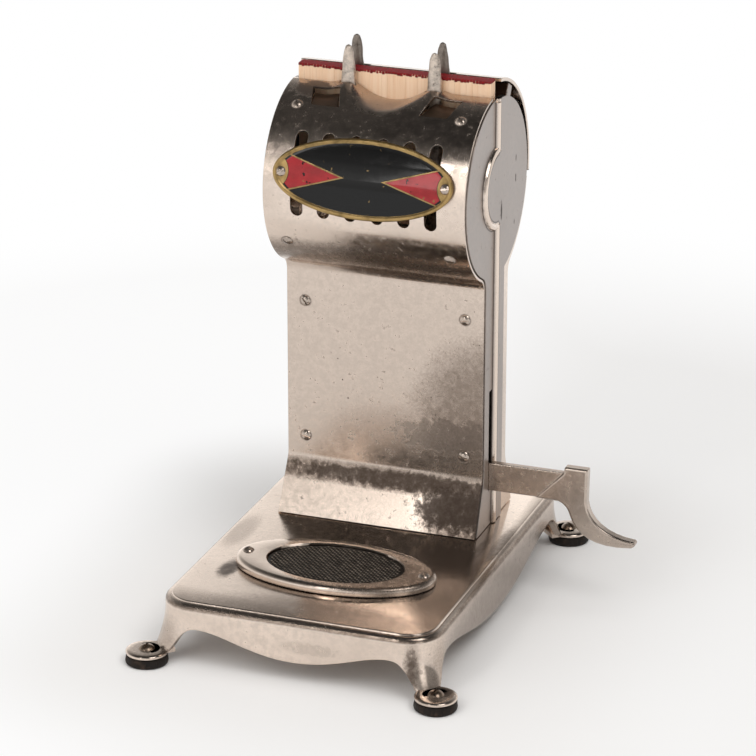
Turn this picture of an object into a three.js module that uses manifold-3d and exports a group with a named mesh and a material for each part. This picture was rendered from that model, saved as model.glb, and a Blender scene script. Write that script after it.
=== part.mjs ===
// Counter match dispenser in nickel-plated metal: a footed base with an oval striker, a
// hollow column with a drum on top, and a side lever that lifts a comb of matches out of
// the drum on two forks. Millimetres, +X to the right, +Y to the back, +Z up. The origin
// is on the floor, under the middle of the overall box.
import * as THREE from 'three';
import { mergeVertices } from 'three/addons/utils/BufferGeometryUtils.js';
import Module from 'manifold-3d';

const wasm = await Module();
wasm.setup();

// Clearances
const SEAT = 0.3;
const RUNNING = 0.06;
const SLIDE = 0.3;
const MERGE = 1e-4;

// Base casting
const BASE_WIDTH = 96;
const BASE_DEPTH = 139;
const BASE_TOP = 22;
const BASE_CORNER = 12;
const BASE_WALL = 2.6;
const PANEL_THICKNESS = 2.8;
const PANEL_STEP = 0.6;
const SHOULDER_INSET = 2.2;
const SHOULDER_HEIGHT = 2.2;
const LEG_START = 19;
const LEG_FLARE = 4.5;
const LEG_REACH = 15;
const SKIRT_DIP_FRONT = 6.7;
const SKIRT_DIP_SIDE = 4.8;
const ARCH_TOP = 13;
const LEG_SPAN = 8.5;
const ARCH_CURVE = 6;

// Feet
const FOOT_OUTSET = 2;
const FOOT_RADIUS = 7;
const FOOT_PLATE = 1.4;
const FOOT_CROWN = 1;
const RUBBER_HEIGHT = 3.2;
const RUBBER_TAPER = 0.7;

// Striker
const STRIKER_Y = 40.5 - BASE_DEPTH / 2;
const STRIKER_LENGTH = 69.6;
const STRIKER_WIDTH = 37.8;
const STRIKER_HEIGHT = 3;
const STRIKER_ROUND = 1.5;
const STRIKER_PAD_LENGTH = STRIKER_LENGTH - 22;
const STRIKER_PAD_WIDTH = 30;
const STRIKER_PAD_THICKNESS = 1.6;
const STRIKER_SCREW_X = STRIKER_LENGTH / 2 - 3.8;
const STRIKER_LIP = 0.7;

// Column and drum
const SEAM_Y = BASE_DEPTH / 2 - 40.9;
const COLUMN_WIDTH = 70;
const COLUMN_FRONT = 10.3;
const COLUMN_BACK = 14.4;
const DRUM_HEIGHT = 119.9;
const DRUM_RADIUS = 31.7;
const CREASE_RADIUS = 5;
const FLARE_HEIGHT = 20.5;
const FLARE_RADIUS = 8;
const FLARE_ANGLE = 21;
const LIP_ANGLE = 85;

// Front cover sheet
const COVER_THICKNESS = 0.9;
const SLOT_COUNT = 6;
const SLOT_PITCH = 9.3;
const SLOT_WIDTH = 4.2;
const SLOT_LOW_ANGLE = -12.3;
const SLOT_HIGH_ANGLE = 40.3;
const SCOOP_DEPTH = 4.2;
const SCOOP_WIDTH = 23;
const SCOOP_BLEND = 0.8;
const HUMP_HEIGHT = 1.6;
const LIP_NOTCH_PLAY = 0.4;
const HUMP_WIDTH = 7;
const WINDOW_X = 20;
const WINDOW_WIDTH = 9.6;
const WINDOW_LOW_ANGLE = 59;
const WINDOW_HIGH_ANGLE = 76;
const WINDOW_LEAN = 2.6;
const TAB_DROP = 3.4;

// Name plate, bare of words
const PLATE_ANGLE = 14.6;
const PLATE_LENGTH = COLUMN_WIDTH - 7.8;
const PLATE_WIDTH = 25.6;
const PLATE_THICKNESS = 1;
const PLATE_RIM = 0.7;
const PLATE_RIM_WIDTH = 1.7;
const PLATE_SCREW_X = PLATE_LENGTH / 2 - 2.6;

// Side castings
const SIDE_THICKNESS = 1.4;
const SIDE_PROUD = 0.9;
const SIDE_BACK = 7.1;
const BEAD_RADIUS = 1.35;
const LOBE_RADIUS = 13;
const FLANGE_WIDTH = 7.5;
const FLANGE_THICKNESS = 2.2;
const FLANGE_LIP_ANGLE = 80;
const RAIL_WIDTH = 2;
const RAIL_DEPTH = 5.2;
const RAIL_LOW = 24;
const RAIL_HIGH = 80;
const FOOT_LUG_WIDTH = 10.8;
const FOOT_LUG_DEPTH = 7.6;
const FOOT_LUG_HEIGHT = 6;
const REAR_BOSS = 7;
const REAR_BOSS_REACH = 8.8;
const LID_STOP_ANGLE = 62;
const LID_STOP_WIDTH = 4;
const LID_STOP_REACH = 5.8;

// Rear cover and lid
const REAR_THICKNESS = 1.2;
const REAR_RADIUS = 34.6;
const REAR_TOP_ANGLE = -10.2;
const REAR_RETURN = 3.4;
const LID_RADIUS = 36.4;
const LID_THICKNESS = 1.2;
const LID_LOW_ANGLE = -7.6;
const LID_HIGH_ANGLE = 82.6;
const LID_NOTCH_WIDTH = 8;
const LID_NOTCH_DEPTH = 2.2;
const HINGE_Y = 35.3;
const HINGE_Z = -5.3;
const KNUCKLE_RADIUS = 1.7;
const KNUCKLE_LENGTH = 9.4;
const KNUCKLE_COUNT = 5;
const KNUCKLE_GAP = 0.4;
const HINGE_PIN_RADIUS = 0.8;

// Lever and its bracket
const PIVOT_X = 2;
const PIVOT_Z = 18.4;
const LEVER_Y = -3;
const LEVER_THICKNESS = 2.6;
const LEVER_HEIGHT = 10;
const LEVER_LENGTH = 59.5;
const LEVER_TIP_HEIGHT = 6;
const LEVER_TRAVEL = 35;
const CRANK_LENGTH = 25;
const THUMB_THICKNESS = 4;
const THUMB_BEVEL = 0.5;
const THUMB_DROP = 18.9;
const PIVOT_RADIUS = 2;
const DRIVE_RADIUS = 1.5;
const BRACKET_WALL = 2.1;
const BRACKET_BASE = 2.4;
const BRACKET_WIDTH = 10;
const BRACKET_TOE = 18.5;

// Lifter
const LIFT = CRANK_LENGTH * Math.sin(THREE.MathUtils.degToRad(LEVER_TRAVEL));
const LIFTER_Y = 1.6;
const LIFTER_THICKNESS = 1.8;
const LIFTER_WIDTH = 60;
const LIFTER_BORDER = 6;
const LIFTER_STRIP = 1.7;
const DRIVE_PLAY = 0.6;
const YOKE_HEIGHT = 4.4;
const YOKE_WIDTH = 37;
const YOKE_FRONT = 4.2;
const FORK_X = 15;
const FORK_BASE = 5;
const PRONG_WIDTH = 5.2;
const PRONG_THICKNESS = 2.6;
const PRONG_FRONT_TOP = 165;
const PRONG_REAR_TOP = 166.5;
const PEG_RADIUS = 1.5;
const RIVET_RADIUS = 1.2;
const RIVET_X = 10;

// Match comb
const COMB_WIDTH = COLUMN_WIDTH - 2.8;
const COMB_OFFSET = 0.2;
const COMB_THICKNESS = 4.7;
const COMB_BOTTOM = 108;
const COMB_TOP = 156.6;
const COMB_PLAY = 0.3;
const COMB_SEAT = 0.3;

// Screws: [head radius, head height, shank radius, shank length]
const COVER_SCREW = [1.9, 1.1, 1, 3];
const PLATE_SCREW = [1.8, 1.1, 0.8, 1.6];
const STRIKER_SCREW = [2, 1.1, 1.1, 4.6];
const FOOT_SCREW = [2.7, 1.5, 1.4, 3.6];
const BASE_SCREW = [3, 1.8, 1.5, 7];
const BRACKET_SCREW = [2.2, 1.3, 1.2, 4];
const SCREW_UP_ANGLE = 58.2;
const SCREW_DOWN_ANGLE = -33.3;
const COVER_SCREW_X = COLUMN_WIDTH / 2 - 6.6;
const COLUMN_SCREW_HIGH = 76;
const COLUMN_SCREW_LOW = 27;
const BASE_SCREW_X = COLUMN_WIDTH / 2 - 7.5;
const BASE_SCREW_FRONT = -6.5;
const BASE_SCREW_BACK = LIFTER_Y + LIFTER_THICKNESS + SLIDE + 0.1 + FOOT_LUG_DEPTH / 2;

// Facets
const DRUM_STEP = 6;
const LIP_COLUMNS = 12;
const ROUND = 16;
const LOBE_ROUND = 24;
const SMALL_ROUND = 8;
const SHANK_ROUND = 6;
const CURVE_STEPS = 6;
const SCREW_ROUND = 8;

// Colours
const nickel = new THREE.MeshStandardMaterial({ color: 0xb9b1a9, metalness: 0.95, roughness: 0.28 });
const darkNickel = new THREE.MeshStandardMaterial({ color: 0x8f8780, metalness: 0.9, roughness: 0.4 });
const steel = new THREE.MeshStandardMaterial({ color: 0x8a8c8e, metalness: 0.9, roughness: 0.45 });
const frosted = new THREE.MeshStandardMaterial({ color: 0xc6c2bc, metalness: 0.8, roughness: 0.6 });
const brass = new THREE.MeshStandardMaterial({ color: 0xb08a3e, metalness: 0.9, roughness: 0.35 });
const rubber = new THREE.MeshStandardMaterial({ color: 0x1b1a19, metalness: 0, roughness: 0.85 });
const wood = new THREE.MeshStandardMaterial({ color: 0xe9cfa4, metalness: 0, roughness: 0.75 });

const radians = THREE.MathUtils.degToRad;

// A closed mesh with one vertex at each place becomes a solid for joining and cutting
function solid(geometry) {
  const bare = new THREE.BufferGeometry();
  bare.setAttribute('position', geometry.getAttribute('position').clone());
  if (geometry.index) bare.setIndex(geometry.index.clone());
  const merged = mergeVertices(bare, MERGE);
  const index = merged.index.array;
  const kept = [];
  for (let i = 0; i < index.length; i += 3) {
    const [a, b, c] = [index[i], index[i + 1], index[i + 2]];
    if (a !== b && b !== c && c !== a) kept.push(a, b, c);
  }
  return new wasm.Manifold(new wasm.Mesh({
    numProp: 3,
    vertProperties: Float32Array.from(merged.getAttribute('position').array),
    triVerts: Uint32Array.from(kept),
  }));
}

function geometryOf(body) {
  const mesh = body.getMesh();
  const geometry = new THREE.BufferGeometry();
  geometry.setAttribute('position', new THREE.BufferAttribute(Float32Array.from(mesh.vertProperties), 3));
  geometry.setIndex(new THREE.BufferAttribute(Uint32Array.from(mesh.triVerts), 1));
  geometry.computeVertexNormals();
  return geometry;
}

const join = (...bodies) => bodies.reduce((whole, body) => whole.add(body));
const cut = (body, ...tools) => tools.reduce((rest, tool) => rest.subtract(tool), body);

function box(x0, x1, y0, y1, z0, z1) {
  const geometry = new THREE.BoxGeometry(x1 - x0, y1 - y0, z1 - z0);
  geometry.translate((x0 + x1) / 2, (y0 + y1) / 2, (z0 + z1) / 2);
  return solid(geometry);
}

// Outlines are drawn in the plane that the extrusion stands on: (y, z) along X, (x, z) along Y
const alongX = new THREE.Matrix4().makeBasis(
  new THREE.Vector3(0, 1, 0), new THREE.Vector3(0, 0, 1), new THREE.Vector3(1, 0, 0));
const alongY = new THREE.Matrix4().makeBasis(
  new THREE.Vector3(1, 0, 0), new THREE.Vector3(0, 0, 1), new THREE.Vector3(0, -1, 0));

function outline(points) {
  return points instanceof THREE.Shape ? points : new THREE.Shape(points.map(([u, v]) => new THREE.Vector2(u, v)));
}

function extrudeX(points, x0, x1) {
  const geometry = new THREE.ExtrudeGeometry(outline(points), { depth: x1 - x0, bevelEnabled: false, curveSegments: CURVE_STEPS });
  geometry.applyMatrix4(alongX);
  geometry.translate(x0, 0, 0);
  return solid(geometry);
}

function extrudeY(points, y0, y1) {
  const geometry = new THREE.ExtrudeGeometry(outline(points), { depth: y1 - y0, bevelEnabled: false, curveSegments: CURVE_STEPS });
  geometry.applyMatrix4(alongY);
  geometry.translate(0, y1, 0);
  return solid(geometry);
}

function extrudeZ(points, z0, z1) {
  const geometry = new THREE.ExtrudeGeometry(outline(points), { depth: z1 - z0, bevelEnabled: false, curveSegments: ROUND });
  geometry.translate(0, 0, z0);
  return solid(geometry);
}

// A round bar from one level to another along an axis, through the point (u, v) of the plane
// across it: (y, z) for X, (x, z) for Y, (x, y) for Z
function rod(axis, radius, from, to, u, v, segments = ROUND) {
  const geometry = new THREE.CylinderGeometry(radius, radius, to - from, segments);
  const middle = (from + to) / 2;
  if (axis === 'x') geometry.rotateZ(Math.PI / 2).translate(middle, u, v);
  if (axis === 'y') geometry.translate(u, middle, v);
  if (axis === 'z') geometry.rotateX(Math.PI / 2).translate(u, v, middle);
  return solid(geometry);
}

function ellipse(length, width) {
  return new THREE.Shape().absellipse(0, 0, length / 2, width / 2, 0, 2 * Math.PI);
}

// A closed skin over a grid: ring(i) gives the points of one closed section
function loft(rings) {
  const count = rings[0].length;
  const positions = rings.flat(2);
  const index = [];
  for (let i = 0; i < rings.length - 1; i += 1) {
    for (let j = 0; j < count; j += 1) {
      const a = i * count + j;
      const b = i * count + ((j + 1) % count);
      index.push(a, b, b + count, a, b + count, a + count);
    }
  }
  const capLow = THREE.ShapeUtils.triangulateShape(rings[0].map(([x, y]) => new THREE.Vector2(x, y)), []);
  const last = (rings.length - 1) * count;
  for (const [a, b, c] of capLow) {
    index.push(c, b, a);
    index.push(last + a, last + b, last + c);
  }
  const geometry = new THREE.BufferGeometry();
  geometry.setAttribute('position', new THREE.BufferAttribute(new Float32Array(positions), 3));
  geometry.setIndex(index);
  return solid(geometry);
}

// A sheet between an outer and an inner grid of points, both functions of (step, x)
function sheet(steps, xs, outer, inner) {
  const positions = [];
  for (const side of [outer, inner]) {
    for (let i = 0; i < steps; i += 1) {
      for (const x of xs) positions.push(...side(i, x));
    }
  }
  const columns = xs.length;
  const inside = steps * columns;
  const index = [];
  const quad = (a, b, c, d) => index.push(a, b, c, a, c, d);
  for (let i = 0; i < steps - 1; i += 1) {
    for (let j = 0; j < columns - 1; j += 1) {
      const a = i * columns + j;
      quad(a, a + 1, a + columns + 1, a + columns);
      quad(inside + a, inside + a + columns, inside + a + columns + 1, inside + a + 1);
    }
    const left = i * columns;
    const right = left + columns - 1;
    quad(left, left + columns, inside + left + columns, inside + left);
    quad(right, inside + right, inside + right + columns, right + columns);
  }
  const top = (steps - 1) * columns;
  for (let j = 0; j < columns - 1; j += 1) {
    quad(j, inside + j, inside + j + 1, j + 1);
    quad(top + j, top + j + 1, inside + top + j + 1, inside + top + j);
  }
  const geometry = new THREE.BufferGeometry();
  geometry.setAttribute('position', new THREE.BufferAttribute(new Float32Array(positions), 3));
  geometry.setIndex(index);
  return solid(geometry);
}

// Screw with a round slotted head above z = 0 and its shank below
function slottedScrew([headRadius, headHeight, shankRadius, shankLength]) {
  const dome = (headRadius ** 2 + headHeight ** 2) / (2 * headHeight);
  const steps = 2;
  const profile = [new THREE.Vector2(0, -shankLength), new THREE.Vector2(shankRadius, -shankLength),
    new THREE.Vector2(shankRadius, 0)];
  for (let i = 0; i < steps; i += 1) {
    const height = headHeight * (i / steps);
    const radius = Math.sqrt(dome ** 2 - (dome - headHeight + height) ** 2);
    profile.push(new THREE.Vector2(radius, height));
  }
  profile.push(new THREE.Vector2(0, headHeight));
  const body = new THREE.LatheGeometry(profile, SCREW_ROUND);
  body.rotateX(Math.PI / 2);
  const slotWidth = headRadius * 0.24;
  const slot = box(-headRadius, headRadius, -slotWidth / 2, slotWidth / 2, headHeight * 0.55, headHeight * 2);
  return geometryOf(cut(solid(body), slot));
}

function piece(name, shape, material) {
  const geometry = shape.isBufferGeometry ? shape : geometryOf(shape);
  const mesh = new THREE.Mesh(geometry, material);
  mesh.name = name;
  return mesh;
}

function screw(name, size, position, rotation = [0, 0, 0], material = nickel) {
  const mesh = piece(name, slottedScrew(size), material);
  mesh.position.set(...position);
  mesh.rotation.set(...rotation);
  return mesh;
}

// Where the side profile of a cover runs, from foot to drum edge. Inset moves it inwards.
// The result is (y, z) from the seam plane and the base's top; forward is +1 or -1.
function coverProfile({ face, radius, endAngle, inset = 0, low = SEAT }) {
  const points = [];
  const flare = radians(FLARE_ANGLE);
  const bendY = face + FLARE_RADIUS;
  const bendR = FLARE_RADIUS + inset;
  const bendEnd = [bendY - bendR * Math.cos(flare), FLARE_HEIGHT - bendR * Math.sin(flare)];
  points.push([bendEnd[0] + (bendEnd[1] - low) * Math.tan(flare), low]);
  const bendSteps = 3;
  for (let i = bendSteps; i >= 0; i -= 1) {
    const angle = flare * (i / bendSteps);
    points.push([bendY - bendR * Math.cos(angle), FLARE_HEIGHT - bendR * Math.sin(angle)]);
  }
  const creaseY = face + CREASE_RADIUS;
  const creaseZ = DRUM_HEIGHT - Math.sqrt((radius + CREASE_RADIUS) ** 2 - creaseY ** 2);
  const creaseAngle = Math.atan2(DRUM_HEIGHT - creaseZ, creaseY);
  const creaseR = CREASE_RADIUS + inset;
  const creaseSteps = 4;
  for (let i = 0; i <= creaseSteps; i += 1) {
    const angle = creaseAngle * (i / creaseSteps);
    points.push([creaseY - creaseR * Math.cos(angle), creaseZ + creaseR * Math.sin(angle)]);
  }
  const start = -creaseAngle;
  const end = radians(endAngle);
  const drumSteps = Math.ceil((end - start) / radians(DRUM_STEP));
  for (let i = 1; i <= drumSteps; i += 1) {
    const angle = start + (end - start) * (i / drumSteps);
    points.push([(radius - inset) * Math.cos(angle), DRUM_HEIGHT + (radius - inset) * Math.sin(angle)]);
  }
  return points;
}

const frontProfile = (inset, endAngle = LIP_ANGLE) => coverProfile(
  { face: COLUMN_FRONT, radius: DRUM_RADIUS, endAngle, inset }).map(([y, z]) => [-y, z]);
const rearProfile = (inset) => coverProfile(
  { face: COLUMN_BACK, radius: REAR_RADIUS, endAngle: REAR_TOP_ANGLE, inset });

// A point on the drum: angle from the front, upwards
function onDrum(angle, radius) {
  return [-radius * Math.cos(radians(angle)), DRUM_HEIGHT + radius * Math.sin(radians(angle))];
}

// A tool that points outwards from the drum's axis at an angle
function turnedOnDrum(body, angle) {
  return body.rotate([-angle, 0, 0]).translate([0, 0, DRUM_HEIGHT]);
}

// Base casting
function baseRing(level, inset) {
  const halfX = BASE_WIDTH / 2 - inset;
  const halfY = BASE_DEPTH / 2 - inset;
  const corner = BASE_CORNER - inset;
  const arcSteps = 5;
  const sideSteps = 2;
  const depth = Math.max(0, (LEG_START - level) / (LEG_START - RUBBER_HEIGHT));
  const flare = LEG_FLARE * depth ** 2;
  const points = [];
  const corners = [[1, 1, 0], [-1, 1, 1], [-1, -1, 2], [1, -1, 3]];
  for (const [sx, sy, quarter] of corners) {
    const centre = [sx * (halfX - corner), sy * (halfY - corner)];
    const tip = [centre[0] + sx * corner * Math.SQRT1_2, centre[1] + sy * corner * Math.SQRT1_2];
    const swept = [];
    for (let i = -sideSteps; i <= arcSteps + sideSteps; i += 1) {
      const arc = THREE.MathUtils.clamp(i, 0, arcSteps);
      const angle = (quarter + arc / arcSteps) * (Math.PI / 2);
      const along = i < 0 ? i : Math.max(0, i - arcSteps);
      const run = (LEG_REACH / sideSteps) * along;
      const x = centre[0] + corner * Math.cos(angle) - run * Math.sin(angle);
      const y = centre[1] + corner * Math.sin(angle) + run * Math.cos(angle);
      swept.push([x, y]);
    }
    for (const [x, y] of swept) {
      const away = Math.hypot(x - tip[0], y - tip[1]) / (LEG_REACH + corner / 2);
      const weight = Math.cos(Math.min(1, away) * (Math.PI / 2)) ** 2;
      const shift = flare * weight * Math.SQRT1_2;
      points.push([x + sx * shift, y + sy * shift, level]);
    }
  }
  return points;
}

function archOutline(half, dip) {
  const inner = half - LEG_SPAN;
  const apex = inner - ARCH_CURVE;
  const arch = new THREE.Shape();
  arch.moveTo(-inner - 2, -1);
  arch.quadraticCurveTo(-inner, ARCH_TOP, -apex, ARCH_TOP);
  arch.bezierCurveTo(-apex * 0.72, ARCH_TOP, -apex * 0.45, dip, 0, dip);
  arch.bezierCurveTo(apex * 0.45, dip, apex * 0.72, ARCH_TOP, apex, ARCH_TOP);
  arch.quadraticCurveTo(inner, ARCH_TOP, inner + 2, -1);
  arch.closePath();
  return arch;
}

const footX = BASE_WIDTH / 2 + FOOT_OUTSET;
const footY = BASE_DEPTH / 2 + FOOT_OUTSET;
const footLow = RUBBER_HEIGHT + SEAT;
const footHigh = footLow + FOOT_PLATE;
const corners = [['front_left', -1, -1], ['front_right', 1, -1], ['rear_left', -1, 1], ['rear_right', 1, 1]];

function baseCasting() {
  const shoulder = BASE_TOP - PANEL_STEP;
  const outer = loft([
    baseRing(footLow, 0),
    baseRing(7, 0),
    baseRing(10, 0),
    baseRing(14, 0),
    baseRing(LEG_START, 0),
    baseRing(shoulder - SHOULDER_HEIGHT * 0.4, SHOULDER_INSET * 0.25),
    baseRing(shoulder, SHOULDER_INSET),
    baseRing(BASE_TOP, SHOULDER_INSET),
  ]);
  const hollow = loft([
    baseRing(0, BASE_WALL),
    baseRing(7, BASE_WALL),
    baseRing(10, BASE_WALL),
    baseRing(14, BASE_WALL),
    baseRing(BASE_TOP - PANEL_THICKNESS, BASE_WALL),
  ]);
  const reach = BASE_DEPTH;
  const archFront = extrudeY(archOutline(BASE_WIDTH / 2, SKIRT_DIP_FRONT), -reach, reach);
  const archSide = extrudeX(archOutline(BASE_DEPTH / 2, SKIRT_DIP_SIDE), -reach, reach);
  let casting = cut(outer, hollow, archFront, archSide);
  for (const [, sx, sy] of corners) {
    const crown = new THREE.CylinderGeometry(FOOT_RADIUS - FOOT_CROWN, FOOT_RADIUS, FOOT_PLATE / 2, ROUND);
    crown.rotateX(Math.PI / 2).translate(sx * footX, sy * footY, footHigh - FOOT_PLATE / 4);
    const disc = join(rod('z', FOOT_RADIUS, footLow, footHigh - FOOT_PLATE / 2, sx * footX, sy * footY), solid(crown));
    const tongue = box(-FOOT_RADIUS * 1.25, 0, -FOOT_RADIUS * 0.6, FOOT_RADIUS * 0.6, footLow, footHigh)
      .rotate([0, 0, THREE.MathUtils.radToDeg(Math.atan2(sy, sx))])
      .translate([sx * footX, sy * footY, 0]);
    const hole = rod('z', FOOT_SCREW[2] + SEAT, 0, BASE_TOP / 2, sx * footX, sy * footY, SHANK_ROUND);
    casting = cut(join(casting, disc, tongue), hole);
  }
  const panelHole = (radius, x, y) => rod('z', radius + SEAT, BASE_TOP / 2, BASE_TOP + 1, x, y, SHANK_ROUND);
  const holes = [];
  for (const side of [-1, 1]) {
    holes.push(panelHole(STRIKER_SCREW[2], side * STRIKER_SCREW_X, STRIKER_Y));
    holes.push(panelHole(BASE_SCREW[2], side * BASE_SCREW_X, SEAM_Y + BASE_SCREW_FRONT));
    holes.push(panelHole(BASE_SCREW[2], side * BASE_SCREW_X, SEAM_Y + BASE_SCREW_BACK));
  }
  for (const x of bracketScrewXs) holes.push(panelHole(BRACKET_SCREW[2], x, SEAM_Y + LEVER_Y));
  return cut(casting, ...holes);
}

function rubberFoot() {
  const wide = FOOT_RADIUS + 0.2;
  const profile = [[0, 0], [wide - RUBBER_TAPER, 0], [wide, RUBBER_TAPER], [wide - RUBBER_TAPER / 2, RUBBER_HEIGHT],
    [0, RUBBER_HEIGHT]].map(([r, z]) => new THREE.Vector2(r, z));
  const body = new THREE.LatheGeometry(profile, ROUND);
  body.rotateX(Math.PI / 2);
  const shank = rod('z', FOOT_SCREW[2] + SEAT, RUBBER_HEIGHT / 3, RUBBER_HEIGHT * 2, 0, 0, SHANK_ROUND);
  return cut(solid(body), shank);
}

// Striker: an oval frame with a rough oval pad set in it
function strikerFrame() {
  const ring = (level, inset) => Array.from({ length: ROUND * 2 }, (_, i) => {
    const angle = (Math.PI * i) / ROUND;
    return [(STRIKER_LENGTH / 2 - inset) * Math.cos(angle), (STRIKER_WIDTH / 2 - inset) * Math.sin(angle), level];
  });
  const [low, round] = [STRIKER_HEIGHT - STRIKER_ROUND, STRIKER_ROUND];
  const body = loft([ring(0, 0), ring(low, 0), ring(low + round * 0.6, round * 0.25), ring(low + round * 0.9, round * 0.6),
    ring(STRIKER_HEIGHT, round)]);
  const pocket = extrudeZ(ellipse(STRIKER_PAD_LENGTH, STRIKER_PAD_WIDTH), STRIKER_HEIGHT - STRIKER_PAD_THICKNESS - STRIKER_LIP,
    STRIKER_HEIGHT * 2);
  const holes = [-1, 1].map((side) => rod('z', STRIKER_SCREW[2] + SEAT, -1, STRIKER_HEIGHT * 2,
    side * STRIKER_SCREW_X, 0, SHANK_ROUND));
  return cut(body, pocket, ...holes);
}

function strikerPad() {
  return extrudeZ(ellipse(STRIKER_PAD_LENGTH - 2 * SEAT, STRIKER_PAD_WIDTH - 2 * SEAT), 0, STRIKER_PAD_THICKNESS);
}

// Front cover: one sheet over drum, column and flare, with a scoop pressed in its lip
function scoopedRadius(angle, x, inset) {
  const lipShare = THREE.MathUtils.smoothstep(angle, SCREW_UP_ANGLE, LIP_ANGLE);
  const nearHump = Math.max(0, 1 - Math.abs(Math.abs(x) - FORK_X) / HUMP_WIDTH);
  const hump = HUMP_HEIGHT * lipShare * THREE.MathUtils.smoothstep(nearHump, 0, 1);
  const floor = DRUM_RADIUS - SCOOP_DEPTH;
  const rise = SCOOP_DEPTH * (2 * x / SCOOP_WIDTH) ** 2;
  const sine = Math.sin(radians(Math.max(angle, 1)));
  const trough = (floor + rise) / sine;
  const plain = DRUM_RADIUS + hump;
  const nearer = Math.max(0, 1 - Math.abs(plain - trough) / SCOOP_BLEND);
  return Math.min(plain, trough) - (SCOOP_BLEND * nearer ** 2) / 4 - inset;
}

function frontCover() {
  const outerLine = frontProfile(0);
  const innerLine = frontProfile(COVER_THICKNESS);
  const half = COLUMN_WIDTH / 2;
  const fine = [-half];
  const reach = FORK_X + HUMP_WIDTH;
  for (let i = 0; i <= LIP_COLUMNS; i += 1) fine.push(-reach + (2 * reach * i) / LIP_COLUMNS);
  fine.push(half);
  const scooped = (line, inset) => (i, x) => {
    const [y, z] = line[i];
    const angle = THREE.MathUtils.radToDeg(Math.atan2(z - DRUM_HEIGHT, -y));
    if (angle < WINDOW_LOW_ANGLE - DRUM_STEP) return [x, y, z];
    return [x, ...onDrum(angle, scoopedRadius(angle, x, inset))];
  };
  const lip = outerLine.length - 1 - Math.round((LIP_ANGLE - WINDOW_LOW_ANGLE + DRUM_STEP) / DRUM_STEP);
  const plain = (line) => (i, x) => [x, ...line[i]];
  const body = sheet(lip + 2, [-half, half], plain(outerLine), plain(innerLine));
  const [lipOuter, lipInner] = [outerLine.slice(lip), innerLine.slice(lip)];
  const crown = sheet(lipOuter.length, fine, scooped(lipOuter, 0), scooped(lipInner, COVER_THICKNESS));
  let cover = join(body, crown);
  const middle = (SLOT_LOW_ANGLE + SLOT_HIGH_ANGLE) / 2;
  const span = radians((SLOT_HIGH_ANGLE - SLOT_LOW_ANGLE) / 2);
  const slotHalf = DRUM_RADIUS * Math.sin(span);
  for (let i = 0; i < SLOT_COUNT; i += 1) {
    const x = (i - (SLOT_COUNT - 1) / 2) * SLOT_PITCH;
    const slot = new THREE.Shape();
    slot.absarc(x, slotHalf - SLOT_WIDTH / 2, SLOT_WIDTH / 2, 0, Math.PI);
    slot.absarc(x, -slotHalf + SLOT_WIDTH / 2, SLOT_WIDTH / 2, Math.PI, 2 * Math.PI);
    cover = cut(cover, turnedOnDrum(extrudeY(slot, -DRUM_RADIUS - 2, -DRUM_RADIUS / 2), middle));
  }
  for (const side of [-1, 1]) cover = join(cut(cover, windowTool(side)), windowTab(side));
  for (const [x, angle] of coverScrewAngles) {
    cover = cut(cover, turnedOnDrum(rod('y', COVER_SCREW[2] + SEAT, -DRUM_RADIUS - 2, -DRUM_RADIUS / 2, x, 0, SHANK_ROUND), angle));
  }
  for (const side of [-1, 1]) {
    const plateHole = rod('y', PLATE_SCREW[2] + SEAT, -DRUM_RADIUS - 2, -DRUM_RADIUS / 2, side * PLATE_SCREW_X, 0, SHANK_ROUND);
    cover = cut(cover, turnedOnDrum(plateHole, PLATE_ANGLE));
    for (const z of [COLUMN_SCREW_LOW, COLUMN_SCREW_HIGH]) {
      cover = cut(cover, rod('y', COVER_SCREW[2] + SEAT, -COLUMN_FRONT - 2, -COLUMN_FRONT + 2, side * COVER_SCREW_X, z, SHANK_ROUND));
    }
  }
  const combSide = COMB_THICKNESS / 2 + COMB_PLAY;
  const prongReach = combSide + PRONG_THICKNESS + LIP_NOTCH_PLAY;
  const notchHalf = PRONG_WIDTH / 2 + LIP_NOTCH_PLAY;
  cover = cut(cover, box(-half - 1, half + 1, -combSide, combSide, DRUM_HEIGHT, DRUM_HEIGHT + DRUM_RADIUS * 2));
  for (const side of [-1, 1]) {
    cover = cut(cover, box(side * FORK_X - notchHalf, side * FORK_X + notchHalf, -prongReach, 0,
      DRUM_HEIGHT, DRUM_HEIGHT + DRUM_RADIUS * 2));
  }
  return cover;
}

// A window is cut on three sides and its tab bends inwards from the low side
function windowCorners(side) {
  const low = DRUM_RADIUS * Math.sin(radians(WINDOW_LOW_ANGLE - windowMiddle));
  const high = DRUM_RADIUS * Math.sin(radians(WINDOW_HIGH_ANGLE - windowMiddle));
  const inner = WINDOW_X - WINDOW_WIDTH / 2;
  const outer = WINDOW_X + WINDOW_WIDTH / 2;
  const corners = [[inner - WINDOW_LEAN / 2, low], [outer - WINDOW_LEAN / 2, low],
    [outer + WINDOW_LEAN / 2, high], [inner + WINDOW_LEAN / 2, high]];
  return side > 0 ? corners : corners.map(([x, v]) => [-x, v]).reverse();
}

const windowMiddle = (WINDOW_LOW_ANGLE + WINDOW_HIGH_ANGLE) / 2;

function windowTool(side) {
  return turnedOnDrum(extrudeY(windowCorners(side), -DRUM_RADIUS - 3, -DRUM_RADIUS + 4), windowMiddle);
}

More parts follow.
